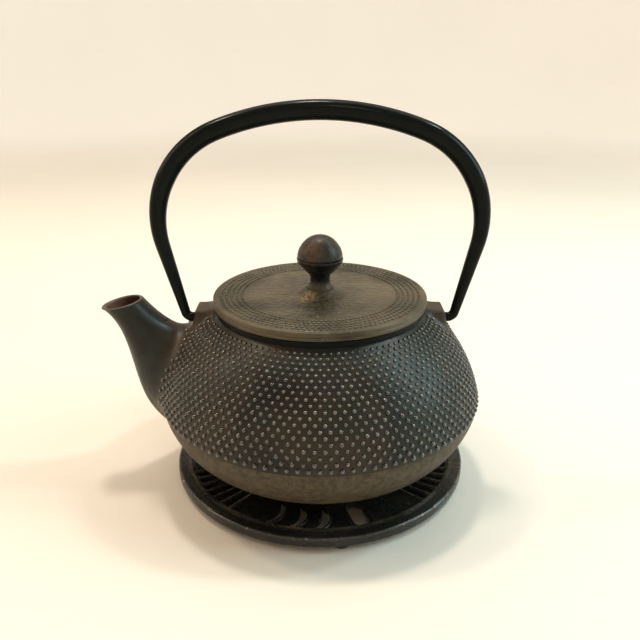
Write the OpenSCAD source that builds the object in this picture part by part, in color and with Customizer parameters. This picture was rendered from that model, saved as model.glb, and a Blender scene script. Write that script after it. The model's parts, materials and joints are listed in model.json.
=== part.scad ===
// Squat cast iron teapot with a studded dome, a bail handle, a flat lid with a ball
// knob, a drop-in infuser and a round openwork trivet.
// Origin: on the table, under the pot's axis. +Z up, spout towards -X.

/* [Pot] */
// Radius of the pot at its belly line
belly_r = 79.5; // [66:0.5:96]
// Height of the belly line above the pot's seat
belly_rise = 36; // [30:0.5:44]
// Height of the mouth collar's top above the pot's seat
pot_h = 82.6; // [74:0.2:100]
// Radius of curvature of the dome above the belly line
dome_curve_r = 68.2; // [56:0.1:82]
// Radius of curvature of the bowl below the belly line
bowl_curve_r = 40.6; // [36:0.1:49]
// Radius of the flat underside
base_r = 39.5; // [33:0.5:47]
// Wall thickness of the casting
wall = 3.2; // [2.6:0.1:4]
// Height of the foot ring under the base
foot_ring_h = 2.6; // [2:0.1:3.2]
// Width of the foot ring
foot_ring_w = 5; // [4:0.1:6]

/* [Mouth] */
// Outer radius of the mouth collar
collar_r = 50; // [43:0.5:56]
// Height of the collar above the dome
collar_h = 2.9; // [2.3:0.1:3.5]
// Width of the collar, from its outside to the mouth opening
collar_w = 9; // [8:0.1:10.5]
// Width of the rebate that the infuser's flange lies in
rebate_w = 3.4; // [3:0.1:4]
// Depth of the rebate
rebate_d = 0.8; // [0.6:0.1:1]
// Depth of the thickened lip under the collar
lip_d = 5; // [4:0.5:6]

/* [Spout] */
// Reach of the spout's tip beyond the belly
spout_reach = 26.6; // [22:0.1:32]
// Height of the spout's tip below the collar's top
spout_drop = 2.4; // [1:0.1:5]
// Width of the mouth of the spout, front to back
spout_mouth_w = 18.4; // [15:0.2:22]
// Width of the spout's root, front to back
spout_root_w = 38; // [32:0.5:45]
// Wall of the spout at its lip
spout_lip = 1.4; // [1.2:0.1:1.7]
// Wall of the spout along its length
spout_wall = 3; // [2.4:0.1:3.4]

/* [Lugs] */
// Distance of the lugs' outer face beyond the dome, at the handle's axis
lug_out = 4.7; // [4:0.1:5.6]
// Front to back thickness of a lug
lug_w = 15; // [12.5:0.5:18]
// Height of the lugs' flat top above the handle's axis
lug_top = 6.2; // [5.2:0.1:7.4]
// Depth of the hole that holds a handle hook
hook_hole_d = 8; // [6.7:0.1:9]

/* [Handle] */
// Height of the handle's axis below the collar's top
pivot_drop = 8.1; // [7:0.1:9.5]
// Height of the handle's top above its axis, to the middle of the tube
bail_h = 97.3; // [82:0.1:116]
// Radius of the bail's flat top
bail_top_curve_r = 128; // [110:1:150]
// Radius of the bail's shoulders
bail_shoulder_r = 45; // [38:0.5:50]
// Lean of the bail's legs towards the pot, in degrees
bail_lean = 14; // [12:0.5:17]
// Diameter of the tube at the top
tube_d = 9; // [7.5:0.1:10.8]
// Diameter of the tube where its ends hook into the lugs
tube_end_d = 4.8; // [4:0.1:5.6]
// Radius of the bend of a hook
hook_bend_r = 3.4; // [3:0.1:4]
// Gap between a hook and its hole, on the radius
hook_gap = 0.3; // [0.2:0.05:0.4]

/* [Lid] */
// Overhang of the lid beyond the collar
lid_overhang = 1.2; // [0.8:0.1:1.6]
// Thickness of the lid
lid_t = 4.1; // [3.5:0.1:5]
// Rounding of the lid's edges
lid_edge_r = 0.9; // [0.7:0.05:1.1]
// Depth of the locating skirt under the lid
skirt_d = 6; // [5:0.1:7.2]
// Width of the skirt
skirt_w = 3; // [2.5:0.1:3.6]
// Gap between the skirt and the infuser, on the radius
skirt_gap = 1.2; // [1:0.1:1.5]
// Radius of the boss at the middle of the lid
boss_r = 10; // [8.5:0.1:12]
// Height of the boss
boss_h = 2.4; // [2:0.1:2.9]

/* [Knob] */
// Radius of the knob's ball
knob_r = 11.1; // [9.3:0.1:13.2]
// Height of the knob above the boss
knob_h = 26.1; // [24:0.1:31]
// Radius of the waist under the ball
knob_waist_r = 4.7; // [3.9:0.1:5.6]
// Radius of the knob's foot
knob_foot_r = 6.2; // [5.8:0.1:7.4]
// Radius of the tail that passes through the lid
tail_r = 2.4; // [2:0.1:2.9]
// Gap between the tail and the lid, on the radius
tail_gap = 0.15; // [0.1:0.05:0.3]
// Radius of the peened head on the tail
peen_r = 4; // [3.5:0.1:4.6]
// Height of the peened head
peen_h = 1.8; // [1.5:0.1:2.2]
// Radius of the washer
washer_r = 6.5; // [5.4:0.1:7.8]
// Thickness of the washer
washer_t = 1; // [0.8:0.1:1.2]

/* [Infuser] */
// Depth of the infuser below its flange
infuser_d = 44; // [36:0.5:48]
// Gap between the infuser and the mouth, on the radius
infuser_gap = 2; // [1.6:0.1:2.4]
// Thickness of the flange
flange_t = 1.2; // [1:0.1:1.5]
// Gap around the flange in its rebate
flange_gap = 0.4; // [0.3:0.05:0.5]
// Depth of the flange's neck
neck_d = 5; // [4:0.1:6]
// Thickness of the neck and of the bottom band
band_t = 0.6; // [0.5:0.05:0.7]
// Height of the bottom band
band_h = 4.5; // [3.8:0.1:5.4]
// Thickness of the mesh
mesh_t = 0.6; // [0.5:0.05:0.7]

/* [Trivet] */
// Radius of the trivet
trivet_r = 73.5; // [66:0.5:88]
// Height of the trivet's top above its feet
trivet_rise = 5; // [4.2:0.1:6]
// Width of its flat rim
rim_w = 5; // [4.2:0.1:6]
// Width of the raised line inside the rim
ridge_w = 1.6; // [1.3:0.1:1.9]
// Height of the raised line above the rim
ridge_h = 0.6; // [0.5:0.1:0.8]
// Thickness of the openwork
web_t = 2.4; // [2:0.1:2.9]
// Height of the seat ring above the openwork
seat_rise = 1.9; // [1.5:0.1:2.3]
// Width of the seat ring
seat_w = 9; // [8:0.1:11]
// Number of times that the openwork's pattern repeats
pattern_n = 3; // [2, 3]
// Number of bars in each comb of the pattern
comb_n = 6; // [4:1:7]
// Width of a slot between two bars
slot_w = 3.2; // [2.6:0.1:3.8]

/* [Feet] */
// Height of a rubber foot
foot_h = 3; // [2.4:0.1:3.6]
// Radius of a rubber foot
foot_r = 4; // [3.4:0.1:4.8]
// Radius of the stem that holds a foot in the rim
stem_r = 1.5; // [1.2:0.1:1.8]
// Length of the stem
stem_l = 2.4; // [2:0.1:2.9]
// Direction of the front foot, in degrees from +X
front_foot_angle = -82; // [-95:1:-75]

/* [Hidden] */
$fn = 96;
eps = 0.01;

iron = "#26241f";
dark_iron = "#191a18";
gloss_black = "#101214";
rubber = "#0c0c0c";
steel = "#a9abad";

// Levels, from the table up
web_z = foot_h + 0.4;
web_top_z = web_z + web_t;
rim_top_z = foot_h + trivet_rise;
seat_z = web_top_z + seat_rise;
base_z = seat_z + foot_ring_h;
floor_z = base_z + wall;
belly_z = seat_z + belly_rise;
collar_z = seat_z + pot_h;
collar_foot_z = collar_z - collar_h;
ledge_z = collar_z - rebate_d;
flange_z = ledge_z + flange_t;
lid_z = flange_z;
lid_top_z = lid_z + lid_t;
boss_z = lid_top_z + boss_h;
pivot_z = collar_z - pivot_drop;

// Middle of the arc of radius r that bulges outwards from point a up to point b
function arc_centre(a, b, r) =
    let (d = b - a, half = norm(d) / 2, back = sqrt(r * r - half * half))
    (a + b) / 2 + [-d[1], d[0]] / norm(d) * back;

dome_c = arc_centre([belly_r, belly_z], [collar_r, collar_foot_z], dome_curve_r);
bowl_c = arc_centre([base_r, base_z], [belly_r, belly_z], bowl_curve_r);

// Radius of the dome at height z, taken in from its outside by depth
function dome_r(z, depth = 0) =
    dome_c[0] + sqrt(pow(dome_curve_r - depth, 2) - pow(z - dome_c[1], 2));

mouth_r = collar_r - collar_w;
rebate_r = mouth_r + rebate_w;
infuser_r = mouth_r - infuser_gap;
mesh_r = infuser_r - band_t;
flange_r = rebate_r - flange_gap;
skirt_r = mesh_r - mesh_t - skirt_gap;
lid_r = collar_r + lid_overhang;
foot_ring_r = base_r + 1.5;
seat_r = foot_ring_r - foot_ring_w / 2;
lug_x = dome_r(pivot_z) + lug_out;
foot_place_r = trivet_r - rim_w - 1.5;
foot_n = 3;
foot_step = 360 / foot_n;

// ---------------------------------------------------------------- trivet

module ring(inner, outer, low, high) {
    translate([0, 0, low])
        difference() {
            cylinder(r = outer, h = high - low);
            translate([0, 0, -1]) cylinder(r = inner, h = high - low + 2);
        }
}

rim_inner_r = trivet_r - rim_w - ridge_w;
slot_outer_r = rim_inner_r - 1.4;
seat_outer_r = seat_r + seat_w / 2;
seat_inner_r = seat_r - seat_w / 2;
slot_inner_r = seat_outer_r + 3;
hub_r = 9;
pattern_step = 360 / pattern_n;
wide_slot_w = 2.4 * slot_w;
spoke_n = 6;

// Directions within one repeat of the openwork, in degrees: the comb lies at 0
comb_step = 5.4;
comb_to_foot = 64;
wave_n = 3;
first_wave = 29;
wave_step = 11;
wave_turn = 200;
window = 74;

// A slot with round ends, along the radius, from radius a to radius b
module slot(a, b, w) {
    straight_l = b - a - w;
    translate([a + w / 2, -w / 2]) square([straight_l, w]);
    translate([a + w / 2, 0]) circle(d = w);
    translate([b - w / 2, 0]) circle(d = w);
}

// A crescent opening, like a breaking wave
module wave(r, thin) {
    difference() {
        circle(r = r);
        translate([thin, thin]) circle(r = r);
    }
}

module openwork() {
    for (k = [0 : pattern_n - 1])
        rotate(front_foot_angle - comb_to_foot + k * pattern_step) {
            for (i = [0 : comb_n - 1])
                rotate((i - (comb_n - 1) / 2) * comb_step)
                    slot(slot_inner_r, slot_outer_r, slot_w);
            for (i = [0 : wave_n - 1])
                rotate(first_wave + i * wave_step)
                    translate([(slot_inner_r + slot_outer_r) / 2, 0])
                        rotate(wave_turn)
                            wave((slot_outer_r - slot_inner_r) / 2, slot_w);
            rotate(window) slot(slot_inner_r + 2, slot_outer_r - 1, wide_slot_w);
        }
    for (k = [0 : spoke_n - 1])
        rotate(k * 360 / spoke_n) slot(hub_r + 2, seat_inner_r - 3, wide_slot_w);
}

module trivet_plate() {
    color(dark_iron)
        difference() {
            union() {
                translate([0, 0, web_z])
                    linear_extrude(web_t)
                        difference() {
                            circle(r = rim_inner_r + eps);
                            openwork();
                        }
                rotate_extrude() rim_profile();
                ring(seat_inner_r, seat_outer_r, web_top_z - eps, seat_z);
            }
            for (k = [0 : foot_n - 1])
                foot_frame(k) translate([0, 0, foot_h - 1]) cylinder(r = stem_r, h = stem_l + 1);
        }
}

// Flat rim with a rounded edge, and the raised line inside it
module rim_profile() {
    edge = 1.2;
    translate([rim_inner_r, foot_h])
        square([trivet_r - edge - rim_inner_r, trivet_rise]);
    translate([rim_inner_r, foot_h + edge])
        square([trivet_r - rim_inner_r, trivet_rise - 2 * edge]);
    translate([trivet_r - edge, foot_h + edge]) circle(r = edge);
    translate([trivet_r - edge, rim_top_z - edge]) circle(r = edge);
    translate([rim_inner_r, rim_top_z - eps]) square([ridge_w, ridge_h + eps]);
}

module foot_frame(k) {
    rotate(front_foot_angle + k * foot_step) translate([foot_place_r, 0, 0]) children();
}

module rubber_foot(k) {
    color(rubber)
        foot_frame(k) {
            cylinder(r = foot_r, h = foot_h);
            translate([0, 0, foot_h - eps]) cylinder(r = stem_r, h = stem_l + eps);
        }
}

module trivet_foot_front() { rubber_foot(0); }
module trivet_foot_right() { rubber_foot(1); }
module trivet_foot_left() { rubber_foot(2); }

// ---------------------------------------------------------------- pot

// Half section of the bowl and dome, taken in from the outside by depth. The two arcs
// cross at the belly line, and the smaller radius counts on either side of it.
module body_profile(depth) {
    low = base_z + depth;
    top = collar_foot_z - depth * 0.75;
    above_belly_z = belly_z + wall;
    intersection() {
        translate(dome_c) circle(r = dome_curve_r - depth);
        union() {
            translate(bowl_c) circle(r = bowl_curve_r - depth);
            translate([0, low]) square([bowl_c[0], top - low]);
            translate([0, above_belly_z]) square([2 * belly_r, top - above_belly_z]);
        }
        translate([0, low]) square([2 * belly_r, top - low]);
    }
}

// Point on a cubic curve with the four control points p
function bezier(p, t) =
    pow(1 - t, 3) * p[0] + 3 * t * pow(1 - t, 2) * p[1]
    + 3 * t * t * (1 - t) * p[2] + pow(t, 3) * p[3];

spout_tip_x = -(belly_r + spout_reach);
spout_tip_z = collar_z - spout_drop;
spout_top = [[-(belly_r - 19.5), belly_z + 32.1], [-(belly_r - 10.5), belly_z + 31.5],
             [spout_tip_x + 27.1, spout_tip_z - 5.7], [spout_tip_x + 19.9, spout_tip_z + 4.1]];
spout_bottom = [[-(belly_r - 5.5), belly_z - 17.5], [-(belly_r + 19.5), belly_z - 9.5],
                [spout_tip_x + 19.1, spout_tip_z - 13.7], [spout_tip_x, spout_tip_z]];
bore_max_h = 11.5;
bore_max_w = 10;
spout_sides = 20;

function half_width(t) =
    spout_mouth_w / 2 + (spout_root_w - spout_mouth_w) / 2 * pow(max(1 - t, 0), 1.6);
function wall_at(t) = t > 0.8 ? spout_wall + (spout_lip - spout_wall) * (t - 0.8) / 0.2 : spout_wall;

// One oval ring of the spout, at t along it; a bore ring is taken in by the wall
function spout_ring(t, bore) =
    let (top = bezier(spout_top, t), low = bezier(spout_bottom, t),
         mid = (top + low) / 2, up = (top - low) / norm(top - low),
         h = norm(top - low) / 2, w = half_width(t),
         hh = bore ? min(h - wall_at(t), bore_max_h) : h,
         ww = bore ? min(w - wall_at(t), bore_max_w) : w)
    [for (i = [0 : spout_sides - 1])
        let (a = 360 * i / spout_sides)
        [mid[0] + up[0] * hh * cos(a), ww * sin(a), mid[1] + up[1] * hh * cos(a)]];

// Closed tube through the rings at the stations ts
module spout_loft(ts, bore) {
    n = spout_sides;
    last = (len(ts) - 1) * n;
    points = [for (t = ts) each spout_ring(t, bore)];
    faces = concat(
        [[for (i = [0 : n - 1]) i]],
        [for (k = [0 : len(ts) - 2], i = [0 : n - 1])
            let (a = k * n + i, b = k * n + (i + 1) % n)
            each [[a, a + n, b], [b, a + n, b + n]]],
        [[for (i = [n - 1 : -1 : 0]) last + i]]);
    polyhedron(points = points, faces = faces, convexity = 4);
}

// Side view of a lug: flat top, rounded corner, face leaning outwards to its foot
module lug_profile() {
    round_r = 2.4;
    face_lean = 1.6;
    root_x = mouth_r + 4;
    root_drop = 9;
    foot_drop = 6;
    top_z = pivot_z + lug_top;
    hull() {
        translate([root_x, pivot_z - root_drop]) square([1, lug_top + root_drop]);
        translate([lug_x - round_r - face_lean, top_z - round_r]) circle(r = round_r, $fn = 32);
        translate([lug_x - 2, pivot_z - foot_drop]) square([2.2, 1]);
    }
}

module lug() {
    rotate([90, 0, 0])
        translate([0, 0, -lug_w / 2])
            linear_extrude(lug_w) lug_profile();
}

module hook_hole() {
    translate([lug_x - hook_hole_d, 0, pivot_z])
        rotate([0, 90, 0]) cylinder(r = tube_end_d / 2 + hook_gap, h = hook_hole_d + 8);
}

module pot_body() {
    color(iron)
        difference() {
            union() {
                rotate_extrude() body_profile(0);
                ring(mouth_r, collar_r, collar_z - lip_d, collar_z);
                ring(foot_ring_r - foot_ring_w, foot_ring_r, seat_z, base_z + 1.2);
                spout_loft([-0.15, 0, 0.12, 0.25, 0.38, 0.5, 0.62, 0.74, 0.84, 0.92, 1], false);
                lug();
                mirror([1, 0, 0]) lug();
            }
            rotate_extrude() body_profile(wall);
            translate([0, 0, belly_z]) cylinder(r = mouth_r, h = collar_z);
            translate([0, 0, ledge_z]) cylinder(r = rebate_r, h = collar_z);
            spout_loft([-0.25, -0.1, 0.05, 0.2, 0.35, 0.5, 0.65, 0.8, 0.9, 1, 1.06], true);
            hook_hole();
            mirror([1, 0, 0]) hook_hole();
        }
}

// ---------------------------------------------------------------- handle

bail_top_z = pivot_z + bail_h;
bend_x = lug_x + 0.9;
leg_up = [sin(bail_lean), cos(bail_lean)];
leg_side = [cos(bail_lean), -sin(bail_lean)];
bend_c = [bend_x, pivot_z + hook_bend_r];
leg_low = bend_c + hook_bend_r * leg_side;
bail_top_c = [0, bail_top_z - bail_top_curve_r];

// Length of the straight leg at which the shoulder arc also touches the top arc
leg_l = let (d = leg_low - bail_shoulder_r * leg_side - bail_top_c, along = d * leg_up,
             reach = bail_top_curve_r - bail_shoulder_r)
    sqrt(along * along - d * d + reach * reach) - along;
leg_high = leg_low + leg_l * leg_up;
shoulder_c = leg_high - bail_shoulder_r * leg_side;
top_half_angle = atan2(shoulder_c[0], shoulder_c[1] - bail_top_c[1]);
taper_start = 6;
taper_end = 72;
tube_sides = 14;

function on_arc(c, r, a) = c + r * [sin(a), cos(a)];
shoulder_turn = 90 + bail_lean - top_half_angle;
bend_turn = 90 - bail_lean;

// Half of the bail from hook to crown; each station is [x, z, direction, length from the hook]
bail_half = concat(
    [for (k = [0 : 4])
        let (a = 180 - bend_turn * k / 4)
        [each on_arc(bend_c, hook_bend_r, a), a, hook_bend_r * bend_turn * PI / 180 * k / 4]],
    [for (k = [1 : 4])
        let (l = leg_l * k / 4, p = leg_low + l * leg_up)
        [p[0], p[1], 90 + bail_lean, l + 5]],
    [for (k = [1 : 11])
        let (a = 90 + bail_lean - shoulder_turn * k / 11)
        [each on_arc(shoulder_c, bail_shoulder_r, a), a,
         leg_l + 5 + bail_shoulder_r * shoulder_turn * PI / 180 * k / 11]],
    [for (k = [1 : 4])
        let (a = top_half_angle * (1 - k / 4))
        [each on_arc(bail_top_c, bail_top_curve_r, a), a, taper_end]]);
bail_far = [for (k = [len(bail_half) - 2 : -1 : 0])
    let (s = bail_half[k]) [-s[0], s[1], -s[2], s[3]]];

function tube_r(l) =
    let (t = min(max((l - taper_start) / (taper_end - taper_start), 0), 1))
    (tube_end_d - 0.2 + (tube_d - tube_end_d + 0.2) * t) / 2;

// Round ring across the tube at station s; its outward side points along direction s[2]
function tube_ring(s) =
    [for (i = [0 : tube_sides - 1])
        let (a = 360 * i / tube_sides, r = tube_r(s[3]))
        [s[0] + r * cos(a) * sin(s[2]), r * sin(a), s[1] + r * cos(a) * cos(s[2])]];

module bail_tube() {
    stations = concat(bail_half, bail_far);
    n = tube_sides;
    last = (len(stations) - 1) * n;
    points = [for (s = stations) each tube_ring(s)];
    faces = concat(
        [[for (i = [0 : n - 1]) i]],
        [for (k = [0 : len(stations) - 2], i = [0 : n - 1])
            let (a = k * n + i, b = k * n + (i + 1) % n)
            each [[a, a + n, b], [b, a + n, b + n]]],
        [[for (i = [n - 1 : -1 : 0]) last + i]]);
    polyhedron(points = points, faces = faces, convexity = 6);
}

// Straight end of a hook, lying in the lug's hole
module hook_pin() {
    start_x = lug_x - hook_hole_d + 1;
    translate([start_x, 0, pivot_z])
        rotate([0, 90, 0]) cylinder(d = tube_end_d, h = bend_x + 0.6 - start_x);
}

module handle() {
    color(gloss_black) {
        bail_tube();
        hook_pin();
        mirror([1, 0, 0]) hook_pin();
    }
}

// ---------------------------------------------------------------- lid

tail_hole_r = tail_r + tail_gap;

module lid_profile() {
    e = lid_edge_r;
    translate([tail_hole_r, lid_z]) square([lid_r - e - tail_hole_r, lid_t]);
    translate([tail_hole_r, lid_z + e]) square([lid_r - tail_hole_r, lid_t - 2 * e]);
    translate([lid_r - e, lid_z + e]) circle(r = e);
    translate([lid_r - e, lid_top_z - e]) circle(r = e);
    polygon([[tail_hole_r, lid_top_z - eps], [boss_r + 2, lid_top_z - eps],
             [boss_r, lid_top_z + boss_h * 0.6], [knob_foot_r + 0.8, boss_z],
             [tail_hole_r, boss_z]]);
    translate([skirt_r - skirt_w, lid_z - skirt_d]) square([skirt_w, skirt_d + eps]);
}

module lid_plate() {
    color(iron) rotate_extrude() lid_profile();
}

cap_r = knob_r - 0.5;
ball_z = boss_z + knob_h - cap_r;
waist_z = boss_z + 5;
peen_top_z = lid_z - washer_t - 0.1;

module knob_profile() {
    intersection() {
        translate([0, ball_z]) circle(r = cap_r);
        translate([0, ball_z - eps]) square([2 * knob_r, 2 * knob_r]);
    }
    polygon([[0, boss_z], [knob_foot_r, boss_z], [knob_foot_r, boss_z + 1.1],
             [knob_waist_r + 0.8, boss_z + 2.4], [knob_waist_r, waist_z],
             [knob_waist_r + 0.4, waist_z + 2.2], [knob_r - 4, ball_z - 6.4],
             [knob_r - 0.9, ball_z - 3], [knob_r, ball_z - 1], [knob_r, ball_z],
             [0, ball_z]]);
    translate([0, peen_top_z - eps]) square([tail_r, boss_z - peen_top_z + 2 * eps]);
    translate([0, peen_top_z - peen_h]) square([peen_r, peen_h]);
}

module lid_knob() {
    color(gloss_black) rotate_extrude() knob_profile();
}

module knob_washer() {
    color(steel) ring(tail_hole_r, washer_r, lid_z - washer_t, lid_z);
}

// ---------------------------------------------------------------- infuser

infuser_low_z = flange_z - flange_t - infuser_d;

module infuser_rim() {
    color(steel) {
        ring(mesh_r, flange_r, ledge_z, flange_z);
        ring(mesh_r, infuser_r, ledge_z - neck_d, ledge_z + eps);
    }
}

module infuser_wall() {
    color(steel) ring(mesh_r - mesh_t, mesh_r, infuser_low_z + band_t + mesh_t, flange_z - 0.5);
}

module infuser_floor() {
    color(steel)
        translate([0, 0, infuser_low_z + band_t]) cylinder(r = mesh_r, h = mesh_t);
}

module infuser_band() {
    color(steel) {
        ring(mesh_r, infuser_r, infuser_low_z, infuser_low_z + band_h);
        ring(mesh_r - 3, mesh_r + eps, infuser_low_z, infuser_low_z + band_t);
    }
}

trivet_plate();
trivet_foot_front();
trivet_foot_right();
trivet_foot_left();
pot_body();
handle();
lid_plate();
lid_knob();
knob_washer();
infuser_rim();
infuser_wall();
infuser_floor();
infuser_band();
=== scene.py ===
"""Squat cast iron teapot on its trivet: studded casting, lid, knob, bail and infuser."""

import json
import logging
import math
from dataclasses import dataclass
from enum import Enum, IntEnum
from typing import Callable, Sequence

import bmesh
import bpy
import numpy as np
from bpy.types import Material, Mesh, Node, NodeSocket, Object
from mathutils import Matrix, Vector


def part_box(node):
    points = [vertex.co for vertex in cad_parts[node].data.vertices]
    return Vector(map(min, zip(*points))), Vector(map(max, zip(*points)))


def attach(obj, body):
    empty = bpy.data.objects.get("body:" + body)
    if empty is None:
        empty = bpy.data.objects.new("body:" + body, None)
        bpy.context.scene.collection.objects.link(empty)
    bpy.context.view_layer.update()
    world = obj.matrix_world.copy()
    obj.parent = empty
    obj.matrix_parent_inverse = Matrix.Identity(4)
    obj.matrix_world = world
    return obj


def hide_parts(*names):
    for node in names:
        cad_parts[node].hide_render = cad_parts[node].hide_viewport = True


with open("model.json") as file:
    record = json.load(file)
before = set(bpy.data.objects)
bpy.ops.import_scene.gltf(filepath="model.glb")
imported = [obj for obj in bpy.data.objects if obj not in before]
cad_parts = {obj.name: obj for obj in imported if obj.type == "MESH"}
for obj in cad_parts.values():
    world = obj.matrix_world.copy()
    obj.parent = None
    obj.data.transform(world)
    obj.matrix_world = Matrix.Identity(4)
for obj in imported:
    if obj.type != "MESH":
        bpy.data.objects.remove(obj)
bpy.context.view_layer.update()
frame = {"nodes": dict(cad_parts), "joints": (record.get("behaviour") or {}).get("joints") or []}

log = logging.getLogger("teapot")

MM = 0.001
Colour = tuple[float, float, float]
Point = tuple[float, float]
Field = Callable[..., np.ndarray]


class Slot(Enum):
    """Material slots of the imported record."""

    POT = "pot_iron"
    LID = "lid_iron"
    KNOB = "knob_iron"
    TRIVET = "trivet_iron"
    HANDLE = "handle_lacquer"
    FOOT = "foot_rubber"
    STEEL = "infuser_steel"
    MESH = "infuser_mesh"


class Body(Enum):
    """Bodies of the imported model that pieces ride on."""

    TRIVET = "trivet"
    POT = "pot"
    BAIL = "bail"
    INFUSER = "infuser"
    LID = "lid"
    KNOB = "knob"


class PotFace(IntEnum):
    """Material numbers of the pot's casting."""

    OUTSIDE = 0
    LINING = 1
    # Lip faces of the spout, painted lighter as a highlight
    LIP = 2
    BORE = 3
    # Collar faces, painted near black as the shade under the lid
    COLLAR = 4


@dataclass(frozen=True)
class NodeBox:
    """Lowest and highest corner of a CAD node, in millimetres."""

    low: Vector
    high: Vector

    @classmethod
    def of(cls, node: str) -> "NodeBox":
        """Read the box of a CAD node.

        Args:
            node: name of the CAD node.

        Returns:
            Its box in millimetres.
        """
        low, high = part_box(node)
        return cls(low / MM, high / MM)

    @property
    def radius(self) -> float:
        """Largest reach along +X, which is the radius of a turned node."""
        return self.high.x


# ------------------------------------------------------------------ shapes


@dataclass
class Shape:
    """Points in millimetres, faces over them and a material number for each face."""

    points: np.ndarray
    faces: list[tuple[int, ...]]
    paint: list[int]

    def joined(self, other: "Shape") -> "Shape":
        """Put another closed shape beside this one.

        Args:
            other: the shape to add.

        Returns:
            One shape that holds both.
        """
        shift = len(self.points)
        moved = [tuple(i + shift for i in face) for face in other.faces]
        points = np.vstack([self.points, other.points])
        return Shape(points, self.faces + moved, self.paint + other.paint)

    def painted(self, number: int) -> "Shape":
        """Give every face the same material number."""
        return Shape(self.points, self.faces, [number] * len(self.faces))


def rounded(corners: Sequence[Point], radii: Sequence[float], steps: int = 4) -> list[Point]:
    """Round the corners of a closed outline with arcs.

    Args:
        corners: outline corners in order.
        radii: rounding radius at each corner, 0 for a sharp one.
        steps: straight pieces in each arc.

    Returns:
        The outline with an arc in place of each rounded corner.
    """
    outline: list[Point] = []
    count = len(corners)
    for i, radius in enumerate(radii):
        here = Vector(corners[i])
        if radius <= 0:
            outline.append(tuple(here))
            continue
        back = Vector(corners[i - 1]) - here
        ahead = Vector(corners[(i + 1) % count]) - here
        half = back.angle(ahead) / 2
        reach = min(radius / math.tan(half), back.length * 0.49, ahead.length * 0.49)
        start = here + back.normalized() * reach
        end = here + ahead.normalized() * reach
        for k in range(steps + 1):
            t = k / steps
            bend = start * (1 - t) ** 2 + here * 2 * t * (1 - t) + end * t**2
            outline.append(tuple(bend))
    return outline


def turned(outline: Sequence[Point], segments: int = 128) -> Shape:
    """Turn a closed outline about the Z axis.

    Args:
        outline: points in (radius, height), in either direction round the section.
        segments: number of steps round the axis.

    Returns:
        A closed solid of revolution with its faces outwards.
    """
    area = sum(a[0] * b[1] - b[0] * a[1] for a, b in zip(outline, [*outline[1:], outline[0]]))
    section = list(outline) if area > 0 else list(outline)[::-1]
    angles = np.arange(segments) * (2 * math.pi / segments)
    rings: list[list[int]] = []
    points: list[tuple[float, float, float]] = []
    for radius, height in section:
        start = len(points)
        if radius < 1e-4:
            points.append((0.0, 0.0, height))
            rings.append([start] * segments)
        else:
            points += [(radius * math.cos(a), radius * math.sin(a), height) for a in angles]
            rings.append(list(range(start, start + segments)))
    faces: list[tuple[int, ...]] = []
    for lower, upper in zip(rings, [*rings[1:], rings[0]]):
        for k in range(segments):
            after = (k + 1) % segments
            corners = (lower[k], lower[after], upper[after], upper[k])
            face = tuple(dict.fromkeys(corners))
            if len(face) > 2:
                faces.append(face)
    return Shape(np.array(points), faces, [0] * len(faces))


def lofted(rings: Sequence[np.ndarray], closed: bool) -> Shape:
    """Skin a row of rings that all have the same number of points.

    Args:
        rings: point rings in order, each counter-clockwise seen from the last ring.
        closed: True to join the last ring to the first, False to cap both ends.

    Returns:
        A closed shape.
    """
    count = len(rings[0])
    total = len(rings)
    faces: list[tuple[int, ...]] = []
    for i in range(total if closed else total - 1):
        lower = i * count
        upper = ((i + 1) % total) * count
        for k in range(count):
            after = (k + 1) % count
            faces.append((lower + k, lower + after, upper + after, upper + k))
    if not closed:
        faces.append(tuple(range(count))[::-1])
        faces.append(tuple(range((total - 1) * count, total * count)))
    return Shape(np.vstack(rings), faces, [0] * len(faces))


def piece_from(name: str, shape: Shape, looks: Sequence[Material], sharp: float = 35) -> Object:
    """Make a piece whose place is in its mesh.

    Args:
        name: piece name.
        shape: the closed shape.
        looks: materials, in the order of the shape's material numbers.
        sharp: angle in degrees past which an edge is shown crisp.

    Returns:
        The new object, at the origin.
    """
    mesh = bpy.data.meshes.new(name)
    mesh.from_pydata((shape.points * MM).tolist(), [], shape.faces)
    mesh.validate()
    for look in looks:
        mesh.materials.append(look)
    if len(mesh.polygons) == len(shape.paint):
        mesh.polygons.foreach_set("material_index", shape.paint)
    mesh.shade_smooth()
    mesh.set_sharp_from_angle(angle=math.radians(sharp))
    mesh.update()
    piece = bpy.data.objects.new(name, mesh)
    bpy.context.scene.collection.objects.link(piece)
    return piece


def settle(piece: Object, body: Body, slot: Slot, *nodes: str) -> None:
    """Tie a finished piece to its body, hide the CAD nodes that it stands for, and log it.

    Args:
        piece: the finished piece.
        body: the body it rides on.
        slot: not used.
        nodes: CAD nodes that it replaces.
    """
    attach(piece, body.value)
    if nodes:
        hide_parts(*nodes)
    log.info("%s: %d faces on %s", piece.name, len(piece.data.polygons), body.value)


# ------------------------------------------------------------------ geometry nodes


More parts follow.
